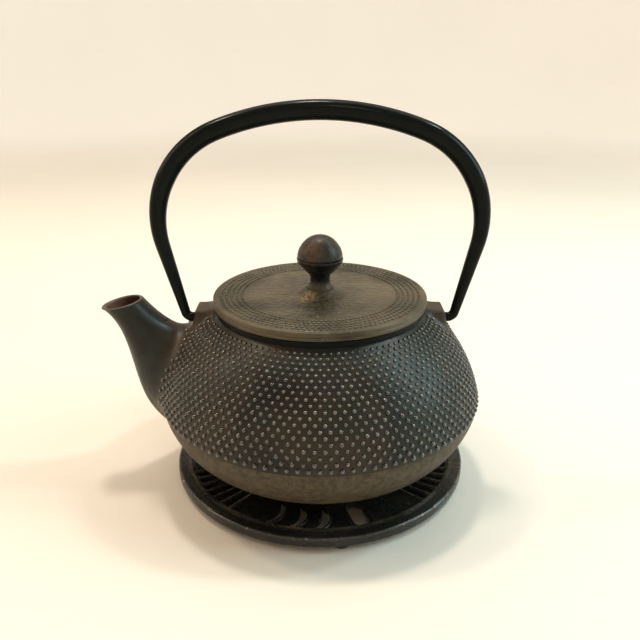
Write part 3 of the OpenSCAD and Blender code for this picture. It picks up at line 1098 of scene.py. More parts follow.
@dataclass(frozen=True)
class SpoutForm:
    """Curved spout: oval sections between an upper and a lower edge line."""

    belly_r: float
    belly_z: float
    tip_x: float
    tip_z: float
    mouth_w: float = 18.4
    root_w: float = 38.0
    wall: float = 3.0
    lip: float = 1.4
    bore_half_h: float = 11.5
    bore_half_w: float = 10.0
    stations: int = 220
    start: float = -0.15
    near_x: float = -40.0
    far: float = 1e3

    def edges(self, t: np.ndarray) -> tuple[np.ndarray, np.ndarray]:
        """Upper and lower edge of the spout.

        Args:
            t: places along the spout, 0 at its root and 1 at its tip.

        Returns:
            Upper and lower edge points in (x, z).
        """
        r, z = self.belly_r, self.belly_z
        x, h = self.tip_x, self.tip_z
        top = [(-(r - 19.5), z + 32.1), (-(r - 10.5), z + 31.5), (x + 27.1, h - 5.7), (x + 19.9, h + 4.1)]
        low = [(-(r - 5.5), z - 17.5), (-(r + 19.5), z - 9.5), (x + 19.1, h - 13.7), (x, h)]
        return bezier(top, t), bezier(low, t)

    def section(self, t: np.ndarray, bore: bool) -> tuple[np.ndarray, np.ndarray, np.ndarray, np.ndarray]:
        """Middle, up direction, half height and half width of the sections.

        Args:
            t: places along the spout.
            bore: True for the bore inside the wall.

        Returns:
            Middles and up directions in (x, z), half heights and half widths.
        """
        top, low = self.edges(t)
        middle = (top + low) / 2
        half = np.linalg.norm(top - low, axis=-1) / 2
        up = (top - low) / (2 * half[..., None])
        width = self.mouth_w / 2 + (self.root_w - self.mouth_w) / 2 * np.maximum(1 - t, 0) ** 1.6
        if bore:
            wall = self.wall + (self.lip - self.wall) * np.clip((t - 0.8) / 0.2, 0, 1)
            half = np.minimum(half - wall, self.bore_half_h)
            width = np.minimum(width - wall, self.bore_half_w)
        return middle, up, half, width

    def distance(self, x: np.ndarray, y: np.ndarray, z: np.ndarray, bore: bool) -> np.ndarray:
        """Distance from the spout's wall, negative inside.

        Args:
            x: X of the points.
            y: Y of the points.
            z: Z of the points.
            bore: True for the bore inside the wall.

        Returns:
            The distances.
        """
        px, pz = np.broadcast_arrays(x, z)
        near = px < self.near_x
        facts = np.tile(np.array([0.0, 1.0, 1.0, self.far]), (*px.shape, 1))
        facts[near] = self.locate(px[near], pz[near], bore)
        s, h, w, beyond = np.moveaxis(facts, -1, 0)
        q = np.sqrt((s / h) ** 2 + (y / w) ** 2)
        slope = np.sqrt((s / h**2) ** 2 + (y / w**2) ** 2)
        side = np.where(q < 1e-3, -np.minimum(h, w), (q - 1) * q / np.maximum(slope, 1e-6))
        return np.where(beyond > 0, np.hypot(np.maximum(side, 0), beyond), side)

    def locate(self, x: np.ndarray, z: np.ndarray, bore: bool) -> np.ndarray:
        """Find the section whose plane holds each point.

        Args:
            x: X of the points.
            z: Z of the points.
            bore: True for the bore inside the wall.

        Returns:
            For each point: height in its section, half height, half width, and how far past an end it is.
        """
        middle, up, half, width = self.section(np.linspace(self.start, 1.0, self.stations), bore)
        dx = x[:, None] - middle[:, 0]
        dz = z[:, None] - middle[:, 1]
        across = dx * up[:, 0] + dz * up[:, 1]
        along = dx * up[:, 1] - dz * up[:, 0]
        flips = along[:, :-1] * along[:, 1:] <= 0
        cost = np.where(flips, np.abs(across[:, :-1]) / half[:-1], np.inf)
        pick = np.argmin(cost, axis=1)
        rows = np.arange(len(x))
        found = np.isfinite(cost[rows, pick])
        gap = along[rows, pick] - along[rows, pick + 1]
        share = along[rows, pick] / np.where(np.abs(gap) < 1e-12, 1e-12, gap)
        tip = np.abs(along[:, 0]) > np.abs(along[:, -1])
        pick = np.where(found, pick, np.where(tip, len(half) - 2, 0))
        share = np.where(found, share, tip * 1.0)
        s = across[rows, pick] * (1 - share) + across[rows, pick + 1] * share
        h = half[pick] * (1 - share) + half[pick + 1] * share
        w = width[pick] * (1 - share) + width[pick + 1] * share
        beyond = np.where(found, 0.0, np.minimum(np.abs(along[:, 0]), np.abs(along[:, -1])))
        return np.stack([s, h, w, beyond], axis=1)

    def ring(self, t: float, bore: bool, grow: float, sides: int) -> np.ndarray:
        """One oval ring of points round the spout.

        Args:
            t: place along the spout.
            bore: True for the bore inside the wall.
            grow: distance that the ring is grown by.
            sides: number of points.

        Returns:
            The ring's points.
        """
        middle, up, half, width = self.section(np.array(t), bore)
        a = np.arange(sides) * (2 * math.pi / sides)
        h = (half + grow) * np.cos(a)
        return np.stack([middle[0] + up[0] * h, (width + grow) * np.sin(a), middle[1] + up[1] * h], axis=1)


@dataclass(frozen=True)
class CastingForm:
    """Distance field of the pot's casting below its collar, in millimetres."""

    belly_r: float
    belly_z: float
    base_z: float
    collar_r: float
    collar_foot_z: float
    pivot_z: float
    lug_x: float
    spout: SpoutForm
    dome_r: float = 68.2
    bowl_r: float = 40.6
    base_r: float = 39.5
    wall: float = 3.2
    lug_half_w: float = 7.5
    lug_top: float = 5.4
    lug_drop: float = 9.0
    lug_lean: float = 1.4
    lean_drop: float = 6.0
    lug_proud: float = 0.2
    lug_root_x: float = 45.0
    lug_edge: float = 1.3
    hole_r: float = 2.6
    hole_depth: float = 8.0
    crease: float = 1.2
    spout_blend: float = 9.0
    lug_blend: float = 5.0
    spout_cut: float = 0.9
    spout_only_x: float = -85.0

    @staticmethod
    def arc_centre(a: Point, b: Point, radius: float) -> Point:
        """Middle of the arc that bulges outwards from a up to b.

        Args:
            a: lower end.
            b: upper end.
            radius: the arc's radius.

        Returns:
            Its middle.
        """
        dx, dz = b[0] - a[0], b[1] - a[1]
        length = math.hypot(dx, dz)
        back = math.sqrt(radius**2 - length**2 / 4)
        return (a[0] + b[0]) / 2 - dz / length * back, (a[1] + b[1]) / 2 + dx / length * back

    @property
    def dome_centre(self) -> Point:
        """Middle of the dome's arc in (radius, height)."""
        neck = (self.collar_r, self.collar_foot_z)
        return self.arc_centre((self.belly_r, self.belly_z), neck, self.dome_r)

    @property
    def bowl_centre(self) -> Point:
        """Middle of the bowl's arc in (radius, height)."""
        return self.arc_centre((self.base_r, self.base_z), (self.belly_r, self.belly_z), self.bowl_r)

    def round_part(self, r: np.ndarray, z: np.ndarray, depth: float) -> np.ndarray:
        """Distance from the dome and bowl.

        Args:
            r: distance of the points from the axis.
            z: their height.
            depth: how far the face is taken in.

        Returns:
            The distances.
        """
        dome_c, bowl_c = self.dome_centre, self.bowl_centre
        dome = np.hypot(r - dome_c[0], z - dome_c[1]) - (self.dome_r - depth)
        out = np.maximum(r - bowl_c[0], 0)
        bowl = np.hypot(out, np.maximum(bowl_c[1] - z, 0)) - (self.bowl_r - depth)
        return smooth_max(dome, bowl, self.crease)

    def lug_part(self, x: np.ndarray, y: np.ndarray, z: np.ndarray) -> np.ndarray:
        """Distance from the two lugs.

        Args:
            x: X of the points.
            y: Y of the points.
            z: Z of the points.

        Returns:
            The distances.
        """
        edge = self.lug_edge
        top = self.pivot_z + self.lug_top - edge
        corner = self.lug_x - self.lug_lean - edge
        face = self.lug_x + self.lug_proud - edge
        low = self.pivot_z - self.lug_drop + edge
        leans_from = self.pivot_z - self.lean_drop
        reach = np.abs(x)
        lean = math.atan2(face - corner, top - leans_from)
        front = (reach - face) * math.cos(lean) + (z - leans_from) * math.sin(lean)
        under = (low - z) * 0.8 + (reach - face) * 0.6
        side = np.maximum(np.maximum(front, z - top), np.maximum(under, self.lug_root_x - reach))
        wide = np.abs(y) - (self.lug_half_w - edge)
        outside = np.hypot(np.maximum(side, 0), np.maximum(wide, 0))
        return outside + np.minimum(np.maximum(side, wide), 0) - edge

    def outside(self, x: np.ndarray, y: np.ndarray, z: np.ndarray) -> np.ndarray:
        """Distance from the outer face: dome, bowl, spout and lugs.

        Args:
            x: X of the points.
            y: Y of the points.
            z: Z of the points.

        Returns:
            The distances.
        """
        r = np.hypot(x, y)
        pot = self.round_part(r, z, 0)
        pot = smooth_min(pot, self.spout.distance(x, y, z, False), self.spout_blend)
        pot = smooth_max(pot, z - (self.collar_foot_z + 1.2), 0.3)
        return smooth_min(pot, self.lug_part(x, y, z), self.lug_blend)

    def inside(self, x: np.ndarray, y: np.ndarray, z: np.ndarray) -> np.ndarray:
        """Distance from the hollow: bowl, spout bore and mouth.

        Args:
            x: X of the points.
            y: Y of the points.
            z: Z of the points.

        Returns:
            The distances.
        """
        r = np.hypot(x, y)
        hollow = smooth_max(self.round_part(r, z, self.wall), z - (self.collar_foot_z - 2.4), 1.5)
        hollow = smooth_min(hollow, self.spout.distance(x, y, z, True), 3)
        mouth = np.maximum(r - (self.collar_r - 7.5), self.belly_z + 10 - z)
        return np.minimum(hollow, mouth)

    def solid(self, x: np.ndarray, y: np.ndarray, z: np.ndarray) -> np.ndarray:
        """Distance from the whole casting below the collar.

        Args:
            x: X of the points.
            y: Y of the points.
            z: Z of the points.

        Returns:
            The distances.
        """
        body = smooth_max(self.outside(x, y, z), -self.inside(x, y, z), 0.4)
        hole_end = self.lug_x - self.hole_depth
        hole = np.maximum(np.hypot(y, z - self.pivot_z) - self.hole_r, hole_end - np.abs(x))
        body = np.maximum(body, -hole)
        middle, up, _, _ = self.spout.section(np.array(self.spout_cut), False)
        past = -((x - middle[0]) * up[1] - (z - middle[1]) * up[0])
        past = np.where(x < self.spout_only_x, past, -10.0)
        return np.maximum(body, past)


def surface_net(field: Field, low: np.ndarray, high: np.ndarray, step: float) -> Shape:
    """Skin the zero level of a distance field with even quads.

    Args:
        field: distance as a function of x, y and z.
        low: lowest corner of the space that is looked at.
        high: highest corner.
        step: grid step.

    Returns:
        A closed shape whose points lie on the zero level.
    """
    counts = np.ceil((high - low) / step).astype(int) + 1
    axes = [low[i] + step * np.arange(counts[i]) for i in range(3)]
    grid = np.meshgrid(*axes, indexing="ij", sparse=True)
    values = field(*grid)
    cells = counts - 1
    total = np.zeros((*cells, 3))
    hits = np.zeros(cells, int)
    crossings = []
    for axis in range(3):
        lower = np.take(values, np.arange(cells[axis]), axis)
        upper = np.take(values, np.arange(1, counts[axis]), axis)
        cross = (lower < 0) != (upper < 0)
        share = np.where(cross, lower / np.where(cross, lower - upper, 1), 0)
        crossings.append((cross, lower < 0))
        others = [a for a in range(3) if a != axis]
        for u in (0, 1):
            for v in (0, 1):
                window = [slice(None)] * 3
                window[others[0]] = slice(u, u + cells[others[0]])
                window[others[1]] = slice(v, v + cells[others[1]])
                hit = cross[tuple(window)]
                hits += hit
                total[..., axis] += np.where(hit, share[tuple(window)], 0)
                total[..., others[0]] += hit * u
                total[..., others[1]] += hit * v
    used = hits > 0
    number = np.full(cells, -1)
    number[used] = np.arange(used.sum())
    points = low + step * (np.argwhere(used) + total[used] / hits[used][:, None])
    faces = []
    for axis in range(3):
        cross, inner = crossings[axis]
        one, two = [a for a in range(3) if a != axis]
        place = np.argwhere(cross)
        keep = (place[:, one] > 0) & (place[:, one] < cells[one])
        keep &= (place[:, two] > 0) & (place[:, two] < cells[two])
        place = place[keep]
        around = []
        for u, v in ((1, 1), (0, 1), (0, 0), (1, 0)):
            cell = place.copy()
            cell[:, one] -= u
            cell[:, two] -= v
            around.append(number[tuple(cell.T)])
        quads = np.stack(around, axis=1)
        forward = inner[tuple(place.T)]
        if axis == 1:
            forward = ~forward
        quads[~forward] = quads[~forward][:, ::-1]
        faces.append(quads)
    quads = np.vstack(faces)
    points = onto_surface(field, points, step * 0.6)
    return Shape(points, [tuple(q) for q in quads.tolist()], [0] * len(quads))


def slope_of(field: Field, points: np.ndarray) -> np.ndarray:
    """Gradient of a distance field at some points.

    Args:
        field: distance as a function of x, y and z.
        points: where it is taken.

    Returns:
        One gradient for each point.
    """
    reach = 0.06
    slopes = []
    for axis in range(3):
        ahead, back = points.copy(), points.copy()
        ahead[:, axis] += reach
        back[:, axis] -= reach
        slopes.append((field(*ahead.T) - field(*back.T)) / (2 * reach))
    return np.stack(slopes, axis=1)


def onto_surface(field: Field, points: np.ndarray, limit: float) -> np.ndarray:
    """Move points onto the zero level of a distance field.

    Args:
        field: distance as a function of x, y and z.
        points: points close to the zero level.
        limit: furthest that a point may move in one pass.

    Returns:
        The moved points.
    """
    passes = 2
    for _ in range(passes):
        value = field(*points.T)
        slope = slope_of(field, points)
        steep = np.maximum((slope**2).sum(axis=1), 0.2)
        move = -slope * (value / steep)[:, None]
        length = np.linalg.norm(move, axis=1, keepdims=True)
        points = points + move * np.minimum(1, limit / np.maximum(length, 1e-9))
    return points


@dataclass
class Pot:
    """The casting: studded dome, plain bowl, collar, foot ring, lugs and spout."""

    box: NodeBox
    collar_r: float
    collar_z: float
    pivot_z: float
    belly_rise: float = 36.0
    foot_ring_h: float = 2.6
    foot_ring_r: float = 41.0
    foot_ring_w: float = 5.0
    collar_h: float = 2.9
    collar_w: float = 9.0
    rebate_w: float = 3.4
    rebate_d: float = 0.8
    lip_d: float = 5.0
    lug_out: float = 4.7
    spout_drop: float = 2.4
    skin_step: float = 1.1
    stud_rows: int = 20
    studs_per_row: int = 108
    stud_radius: float = 1.34
    stud_height: float = 0.95
    stud_sides: int = 8
    stud_spread: float = 0.10
    stud_shrink: float = 0.24
    row_tighten: float = 0.06
    stud_seed: int = 7
    first_row_rise: float = 1.5
    last_row_drop: float = 1.6

    def form(self) -> CastingForm:
        """Work out the casting's distance field from the sizes."""
        belly_r = self.box.radius - self.stud_height
        belly_z = self.box.low.z + self.belly_rise
        tip_z = self.collar_z - self.spout_drop
        spout = SpoutForm(self.box.radius, belly_z, self.box.low.x, tip_z)
        plain = CastingForm(
            belly_r, belly_z, self.box.low.z + self.foot_ring_h, self.collar_r,
            self.collar_z - self.collar_h, self.pivot_z, 0.0, spout,
        )
        centre = plain.dome_centre
        lug_x = centre[0] + math.sqrt(plain.dome_r**2 - (self.pivot_z - centre[1]) ** 2) + self.lug_out
        return CastingForm(
            belly_r, belly_z, plain.base_z, self.collar_r, plain.collar_foot_z, self.pivot_z, lug_x, spout
        )

    def collar(self) -> Shape:
        """Mouth collar with the rebate for the infuser's flange."""
        mouth = self.collar_r - self.collar_w
        rebate = mouth + self.rebate_w
        ledge = self.collar_z - self.rebate_d
        corners = [
            (self.collar_r, self.collar_z - self.lip_d), (self.collar_r, self.collar_z),
            (rebate, self.collar_z), (rebate, ledge), (mouth, ledge), (mouth, self.collar_z - self.lip_d),
        ]
        return turned(rounded(corners, [0, 0.5, 0.3, 0.1, 0.3, 0.5]), 160)

    def foot_ring(self, form: CastingForm) -> Shape:
        """Ring that the pot stands on.

        Args:
            form: the casting's distance field.

        Returns:
            The closed ring.
        """
        low = self.box.low.z
        inner = self.foot_ring_r - self.foot_ring_w
        top = form.base_z + 1.4
        corners = [(inner, low), (self.foot_ring_r, low), (self.foot_ring_r + 0.6, top), (inner - 0.6, top)]
        return turned(rounded(corners, [0.7, 0.7, 0, 0]), 128)

    def spout_end(self, form: CastingForm) -> Shape:
        """Free end of the spout, as one wall from outside over the lip into the bore.

        Args:
            form: the casting's distance field.

        Returns:
            The closed wall, painted with the numbers of PotFace.
        """
        sides, start, proud, sink = 64, 0.56, 0.03, 0.45
        outer_rows, lip_rows, bore_rows, bore_from = 26, 5, 18, 0.985
        rings = [form.spout.ring(t, False, proud, sides) for t in np.linspace(start, 1, outer_rows)]
        outer, inner = form.spout.ring(1, False, 0, sides), form.spout.ring(1, True, 0, sides)
        ahead = np.cross(outer[sides // 4] - outer[0], outer[sides // 2] - outer[0])
        ahead /= np.linalg.norm(ahead)
        if ahead[2] < 0:
            ahead = -ahead
        middle = (outer + inner) / 2
        for k in range(1, lip_rows + 1):
            a = math.pi * k / (lip_rows + 1)
            rings.append(middle + (outer - middle) * math.cos(a) + ahead * (math.sin(a) - 1) * sink)
        rings += [form.spout.ring(t, True, -proud, sides) for t in np.linspace(bore_from, start, bore_rows)]
        lip_from, lip_to = outer_rows - 1, outer_rows + lip_rows
        rings[lip_from] = rings[lip_from] - ahead * sink
        end = lofted(rings, True)
        for number in range(len(end.faces)):
            row = number // sides
            if row >= lip_to:
                end.paint[number] = PotFace.BORE
            elif row >= lip_from:
                end.paint[number] = PotFace.LIP
        return end

    def casting(self, form: CastingForm, looks: Sequence[Material]) -> Object:
        """Build the whole casting as one piece.

        Args:
            form: the casting's distance field.
            looks: finishes in the order of PotFace.

        Returns:
            The finished piece.
        """
        margin, tip_margin, under = 2, 1, 2.2
        side = self.box.radius + margin
        low = np.array([self.box.low.x - tip_margin, -self.box.radius - margin, form.base_z - under])
        high = np.array([side, side, self.collar_z + margin])
        skin = surface_net(form.solid, low, high, self.skin_step)
        centre = np.array([skin.points[list(f)].mean(axis=0) for f in skin.faces])
        hollow = form.inside(*centre.T) < form.wall * 0.3
        skin.paint = np.where(hollow, PotFace.LINING, PotFace.OUTSIDE).tolist()
        collar = self.collar().painted(PotFace.COLLAR)
        whole = skin.joined(collar).joined(self.foot_ring(form)).joined(self.spout_end(form))
        return piece_from("pot_casting", whole, looks, 48)

    def studs(self, form: CastingForm, tree: NodeTree, look: Material) -> Object:
        """Seat the studs in staggered rows over the dome, clear of spout and lugs.

        Args:
            form: the casting's distance field.
            tree: the stud tree.
            look: the studs' finish.

        Returns:
            The finished piece.
        """
        centre, radius = form.dome_centre, form.dome_r
        first = math.asin((form.belly_z + self.first_row_rise - centre[1]) / radius)
        last = math.asin((form.collar_foot_z - self.last_row_drop - centre[1]) / radius)
        places, outward, size = [], [], []
        for row in range(self.stud_rows):
            share = row / (self.stud_rows - 1)
            lift = first + (last - first) * share * (1 + self.row_tighten - self.row_tighten * share)
            for k in range(self.studs_per_row):
                around = 2 * math.pi * (k + 0.5 * (row % 2)) / self.studs_per_row
                side = np.array([math.cos(around), math.sin(around)])
                r = centre[0] + radius * math.cos(lift)
                places.append([r * side[0], r * side[1], centre[1] + radius * math.sin(lift)])
                outward.append([math.cos(lift) * side[0], math.cos(lift) * side[1], math.sin(lift)])
                size.append(1.0 - self.stud_shrink * share)
        spots, ways, sizes = np.array(places), np.array(outward), np.array(size)
        raised, ways, keep = self.climb(form, spots, ways)
        base = point_mesh("stud_points", raised[keep], ways[keep], sizes[keep])
        sink = self.stud_radius - self.stud_height
        values = {
            "Stud Radius": self.stud_radius * MM, "Stud Sink": sink * MM, "Stud Sides": self.stud_sides,
            "Size Spread": self.stud_spread, "Seed": self.stud_seed, "Material": look,
        }
        return tree.apply("pot_studs", base, values)

    @staticmethod
    def climb(
        form: CastingForm, spots: np.ndarray, ways: np.ndarray
    ) -> tuple[np.ndarray, np.ndarray, np.ndarray]:
        """Lift studs onto the flare of the spout and leave out those past it.

        Args:
            form: the casting's distance field.
            spots: stud places on the plain dome.
            ways: outward directions.

        Returns:
            Places on the casting, outward directions there, and which studs to keep.
        """
        highest, passes, pull, lug_clear = 2.6, 12, 0.9, 1.2
        moved = spots.copy()
        for _ in range(passes):
            value = form.outside(*moved.T)
            moved = moved - ways * np.minimum(value, 0)[:, None] * pull
        lifted = np.linalg.norm(moved - spots, axis=1)
        slope = slope_of(form.outside, moved)
        turned_ways = slope / np.linalg.norm(slope, axis=1, keepdims=True)
        near_lug = form.lug_part(*spots.T) < lug_clear
        return moved, turned_ways, (lifted < highest) & ~near_lug

    def build(self, tree: NodeTree) -> CastingForm:
        """Build and dress the pot.

        Args:
            tree: the stud tree.

        Returns:
            The casting's form, for the parts that fit to it.
        """
        form = self.form()
        by_lug = (form.lug_x - 4, form.pivot_z - 1)
        iron = PotIron("pot_iron", band_top=form.belly_z - 0.8, lug_at=by_lug).build()
        enamel = Enamel("pot_enamel").build()
        # The spout's lip is painted lighter as the highlight along its rounded edge
        lip = CastIron(
            "lip_iron",
            deep=(0.050, 0.042, 0.030), patina=(0.095, 0.076, 0.052), bloom=(0.065, 0.058, 0.045),
        ).build()
        bore = CastIron(
            "bore_rust",
            deep=(0.030, 0.013, 0.007), patina=(0.085, 0.034, 0.016), bloom=(0.050, 0.022, 0.011),
            rough_low=0.5, rough_high=0.7, specular=0.2,
        ).build()
        # The collar is painted near black as the shade under the lid's overhang
        collar = CastIron(
            "collar_iron",
            deep=(0.003, 0.004, 0.004), patina=(0.006, 0.006, 0.005), bloom=(0.004, 0.007, 0.007),
            specular=0.08,
        ).build()
        # Stud finish: painted shade round each foot, and tips lighter as rubbed wear and a painted
        # highlight
        tips = StudIron("stud_iron", rough_low=0.16, rough_high=0.26, specular=0.8).build()
        looks = (iron, enamel, lip, bore, collar)
        settle(self.casting(form, looks), Body.POT, Slot.POT, "pot_body")
        settle(self.studs(form, tree, tips), Body.POT, Slot.POT)
        return form


# ------------------------------------------------------------------ lid and knob


@dataclass
class Lid:
    """Flat lid with a dotted border, a low boss and a locating skirt."""

    box: NodeBox
    under_z: float
    thickness: float = 4.1
    edge_r: float = 0.9
    boss_r: float = 10.0
    boss_top_r: float = 7.0
    hole_r: float = 2.55
    skirt_out: float = 36.6
    skirt_w: float = 3.0
    border_w: float = 2.4
    groove: float = 0.35
    dot_rows: int = 5
    dot_pitch: float = 2.45
    dot_radius: float = 0.92
    dot_height: float = 0.6
    dot_sides: int = 6
    dot_spread: float = 0.15
    dot_seed: int = 11

    def casting(self, look: Material) -> Object:
        """Turn the lid.

        Args:
            look: its finish.

        Returns:
            The finished piece.
        """
        r, low = self.box.radius, self.under_z
        top, boss = low + self.thickness, self.box.high.z
        inner = self.skirt_out - self.skirt_w
        groove_r = r - self.border_w
        dip = self.groove
        corners = [
            (self.hole_r, low), (inner, low), (inner, self.box.low.z), (self.skirt_out, self.box.low.z),
            (self.skirt_out, low), (r - 0.25, low), (r, low + 1.6), (r - 0.28, low + 1.95), (r, low + 2.3),
            (r, top), (groove_r + 0.5, top), (groove_r, top - dip), (groove_r - 0.5, top - 0.08),
            (self.boss_r + 3.5, top - 0.05), (self.boss_r + 0.6, top + 0.5), (self.boss_r - 1.6, top + 1.5),
            (self.boss_top_r, boss - 0.05), (self.hole_r, boss),
        ]
        radii = [0, 0.8, 0.5, 0.5, 0.8, 0.5, 0.1, 0.1, 0.1, self.edge_r, 0.2, 0.2, 0.2, 2, 2, 1.5, 0.6, 0]
        return piece_from("lid_casting", turned(rounded(corners, radii), 160), (look,))

    def dots(self, tree: NodeTree, look: Material) -> Object:
        """Seat the fine dots of the border.

        Args:
            tree: the stud tree.
            look: their finish.

        Returns:
            The finished piece.
        """
        top = self.under_z + self.thickness - 0.07
        outer = self.box.radius - self.border_w - 1.5
        places = []
        for row in range(self.dot_rows):
            r = outer - row * self.dot_pitch
            count = int(2 * math.pi * outer / self.dot_pitch)
            for k in range(count):
                a = 2 * math.pi * (k + 0.5 * (row % 2)) / count
                places.append([r * math.cos(a), r * math.sin(a), top])
        spots = np.array(places)
        up = np.tile([0.0, 0.0, 1.0], (len(spots), 1))
        base = point_mesh("dot_points", spots, up, np.ones(len(spots)))
        sink = self.dot_radius - self.dot_height
        values = {
            "Stud Radius": self.dot_radius * MM, "Stud Sink": sink * MM, "Stud Sides": self.dot_sides,
            "Size Spread": self.dot_spread, "Seed": self.dot_seed, "Material": look,
        }
        return tree.apply("lid_dots", base, values)

    def build(self, tree: NodeTree) -> None:
        """Build and dress the lid.

        Args:
            tree: the stud tree.
        """
        inner = self.box.radius - self.border_w - self.dot_rows * self.dot_pitch
        iron = LidIron(
            "lid_iron",
            deep=(0.040, 0.031, 0.017), patina=(0.116, 0.087, 0.050), bloom=(0.076, 0.062, 0.038),
            grain_mm=0.7, rough_low=0.36, rough_high=0.5,
            hammered_r=inner, top=self.under_z + self.thickness,
        ).build()
        dotted = StudIron(
            "dot_iron",
            deep=(0.037, 0.029, 0.016), patina=(0.096, 0.073, 0.043), bloom=(0.066, 0.054, 0.034),
            # foot is painted shade round each dot's base; rubbed is its tip, lighter as rubbed wear and a
            # painted highlight
            rubbed=(0.180, 0.148, 0.098), foot=(0.028, 0.023, 0.014), rough_low=0.3, rough_high=0.4,
        ).build()
        settle(self.casting(iron), Body.LID, Slot.LID, "lid_plate")
        settle(self.dots(tree, dotted), Body.LID, Slot.LID)


@dataclass
class Knob:
    """Ball knob with a grooved equator on a waisted foot, and its peened tail."""

    box: NodeBox
    foot_z: float
    waist_r: float = 4.7
    foot_r: float = 6.2
    tail_r: float = 2.4
    peen_r: float = 4.0
    peen_h: float = 1.8

    def outline(self) -> list[Point]:
        """Half section of the knob from the peened head up to its crown."""
        r, top, foot = self.box.radius, self.box.high.z, self.foot_z
        cap = r - 0.35
        ball = top - cap
        low = self.box.low.z
        crown = []
        for k in range(1, 13):
            a = math.pi / 2 * k / 12
            pull = 0.45 * math.sin(2 * a) ** 2
            crown.append(((cap - pull) * math.cos(a), ball + 0.55 + (cap - 0.55) * math.sin(a)))
        stem = [
            (0, low), (self.peen_r - 0.8, low), (self.peen_r, low + 0.8), (self.peen_r, low + self.peen_h),
            (self.tail_r, low + self.peen_h), (self.tail_r, foot), (self.foot_r, foot),
            (self.foot_r, foot + 0.3), (self.waist_r + 0.8, foot + 1.7), (self.waist_r + 0.15, foot + 3.2),
            (self.waist_r, foot + 4.8), (self.waist_r + 0.1, foot + 6.2),
            (self.waist_r + 0.9, foot + 7.6), (self.waist_r + 2.6, foot + 9),
            (r - 2.2, foot + 11), (r - 0.8, foot + 12.7), (r - 0.1, ball - 1.6), (r, ball - 0.7),
            (r - 0.15, ball - 0.25), (r - 0.75, ball - 0.02), (r - 0.78, ball + 0.22), (cap, ball + 0.5),
        ]
        return stem + crown

    def build(self) -> None:
        """Build and dress the knob."""
        look = Lacquer(
            "knob_iron", colour=(0.006, 0.007, 0.008), worn=(0.110, 0.060, 0.034),
            worn_at=(-4.5, -8.0, self.box.high.z - 6), worn_reach=9,
            crown_z=self.box.high.z - self.box.radius + 0.6, foot_z=self.foot_z,
            rough=0.2, specular=0.32, ripple=0.05,
        ).build()
        piece = piece_from("knob_casting", turned(self.outline(), 96), (look,), 50)
        settle(piece, Body.KNOB, Slot.KNOB, "lid_knob")


# ------------------------------------------------------------------ handle


@dataclass
class Bail:
    """Bail handle: one tapered tube whose ends hook into the lugs."""

    box: NodeBox
    pivot_z: float
    lug_x: float
    top_curve_r: float = 128.0
    shoulder_r: float = 45.0
    lean: float = math.radians(14)
    bend_r: float = 3.4
    bend_out: float = 0.9
    tube_r: float = 4.5
    end_r: float = 2.3
    pin_l: float = 7.0
    taper_start: float = 6.0
    taper_end: float = 72.0

    def half_line(self) -> np.ndarray:
        """Middle line from a pin's end to the crown, on the +X side."""
        top_z = self.box.high.z - self.tube_r
        up = np.array([math.sin(self.lean), math.cos(self.lean)])
        side = np.array([math.cos(self.lean), -math.sin(self.lean)])
        bend_c = np.array([self.lug_x + self.bend_out, self.pivot_z + self.bend_r])
        low = bend_c + self.bend_r * side
        top_c = np.array([0.0, top_z - self.top_curve_r])
        d = low - self.shoulder_r * side - top_c
        along = d @ up
        reach = self.top_curve_r - self.shoulder_r
        leg = math.sqrt(along**2 - d @ d + reach**2) - along
        high = low + leg * up
        shoulder_c = high - self.shoulder_r * side
        crown = math.atan2(shoulder_c[0], shoulder_c[1] - top_c[1])
        start = np.array([self.lug_x - self.pin_l, self.pivot_z])
        pin_end = bend_c - np.array([0.0, self.bend_r])
        parts = [np.linspace(start, pin_end, 8)[:-1]]
        parts.append(self.arc(bend_c, self.bend_r, math.pi, math.pi / 2 + self.lean, 10)[:-1])
        parts.append(np.linspace(low, high, 30)[:-1])
        parts.append(self.arc(shoulder_c, self.shoulder_r, math.pi / 2 + self.lean, crown, 48)[:-1])
        parts.append(self.arc(top_c, self.top_curve_r, crown, 0.0, 26))
        return np.vstack(parts)

    @staticmethod
    def arc(centre: np.ndarray, radius: float, start: float, end: float, count: int) -> np.ndarray:
        """Points on an arc, with angles measured from straight up towards +X.

        Args:
            centre: middle of the arc in (x, z).
            radius: its radius.
            start: first angle.
            end: last angle.
            count: number of points.

        Returns:
            The points in (x, z).
        """
        a = np.linspace(start, end, count)[:, None]
        return centre + radius * np.hstack([np.sin(a), np.cos(a)])

    def build(self, tree: NodeTree) -> None:
        """Build and dress the handle.

        Args:
            tree: the rod tree.
        """
        half = self.half_line()
        steps = np.linalg.norm(np.diff(half, axis=0), axis=1)
        length = np.concatenate([[0], np.cumsum(steps)]) - self.pin_l
        share = np.clip((length - self.taper_start) / (self.taper_end - self.taper_start), 0, 1)
        radius = self.end_r + (self.tube_r - self.end_r) * share
        far = half[-2::-1] * [-1, 1]
        line = np.vstack([half, far])
        radii = np.concatenate([radius, radius[-2::-1]])
        path = np.stack([line[:, 0], np.zeros(len(line)), line[:, 1]], axis=1)
        look = Lacquer("handle_lacquer").build()
        base = line_mesh("bail_line", [path], [radii], False)
        piece = tree.apply("bail_tube", base, {"Sides": 32, "Flatness": 1.0, "Material": look})
        settle(piece, Body.BAIL, Slot.HANDLE, "handle")


# ------------------------------------------------------------------ infuser


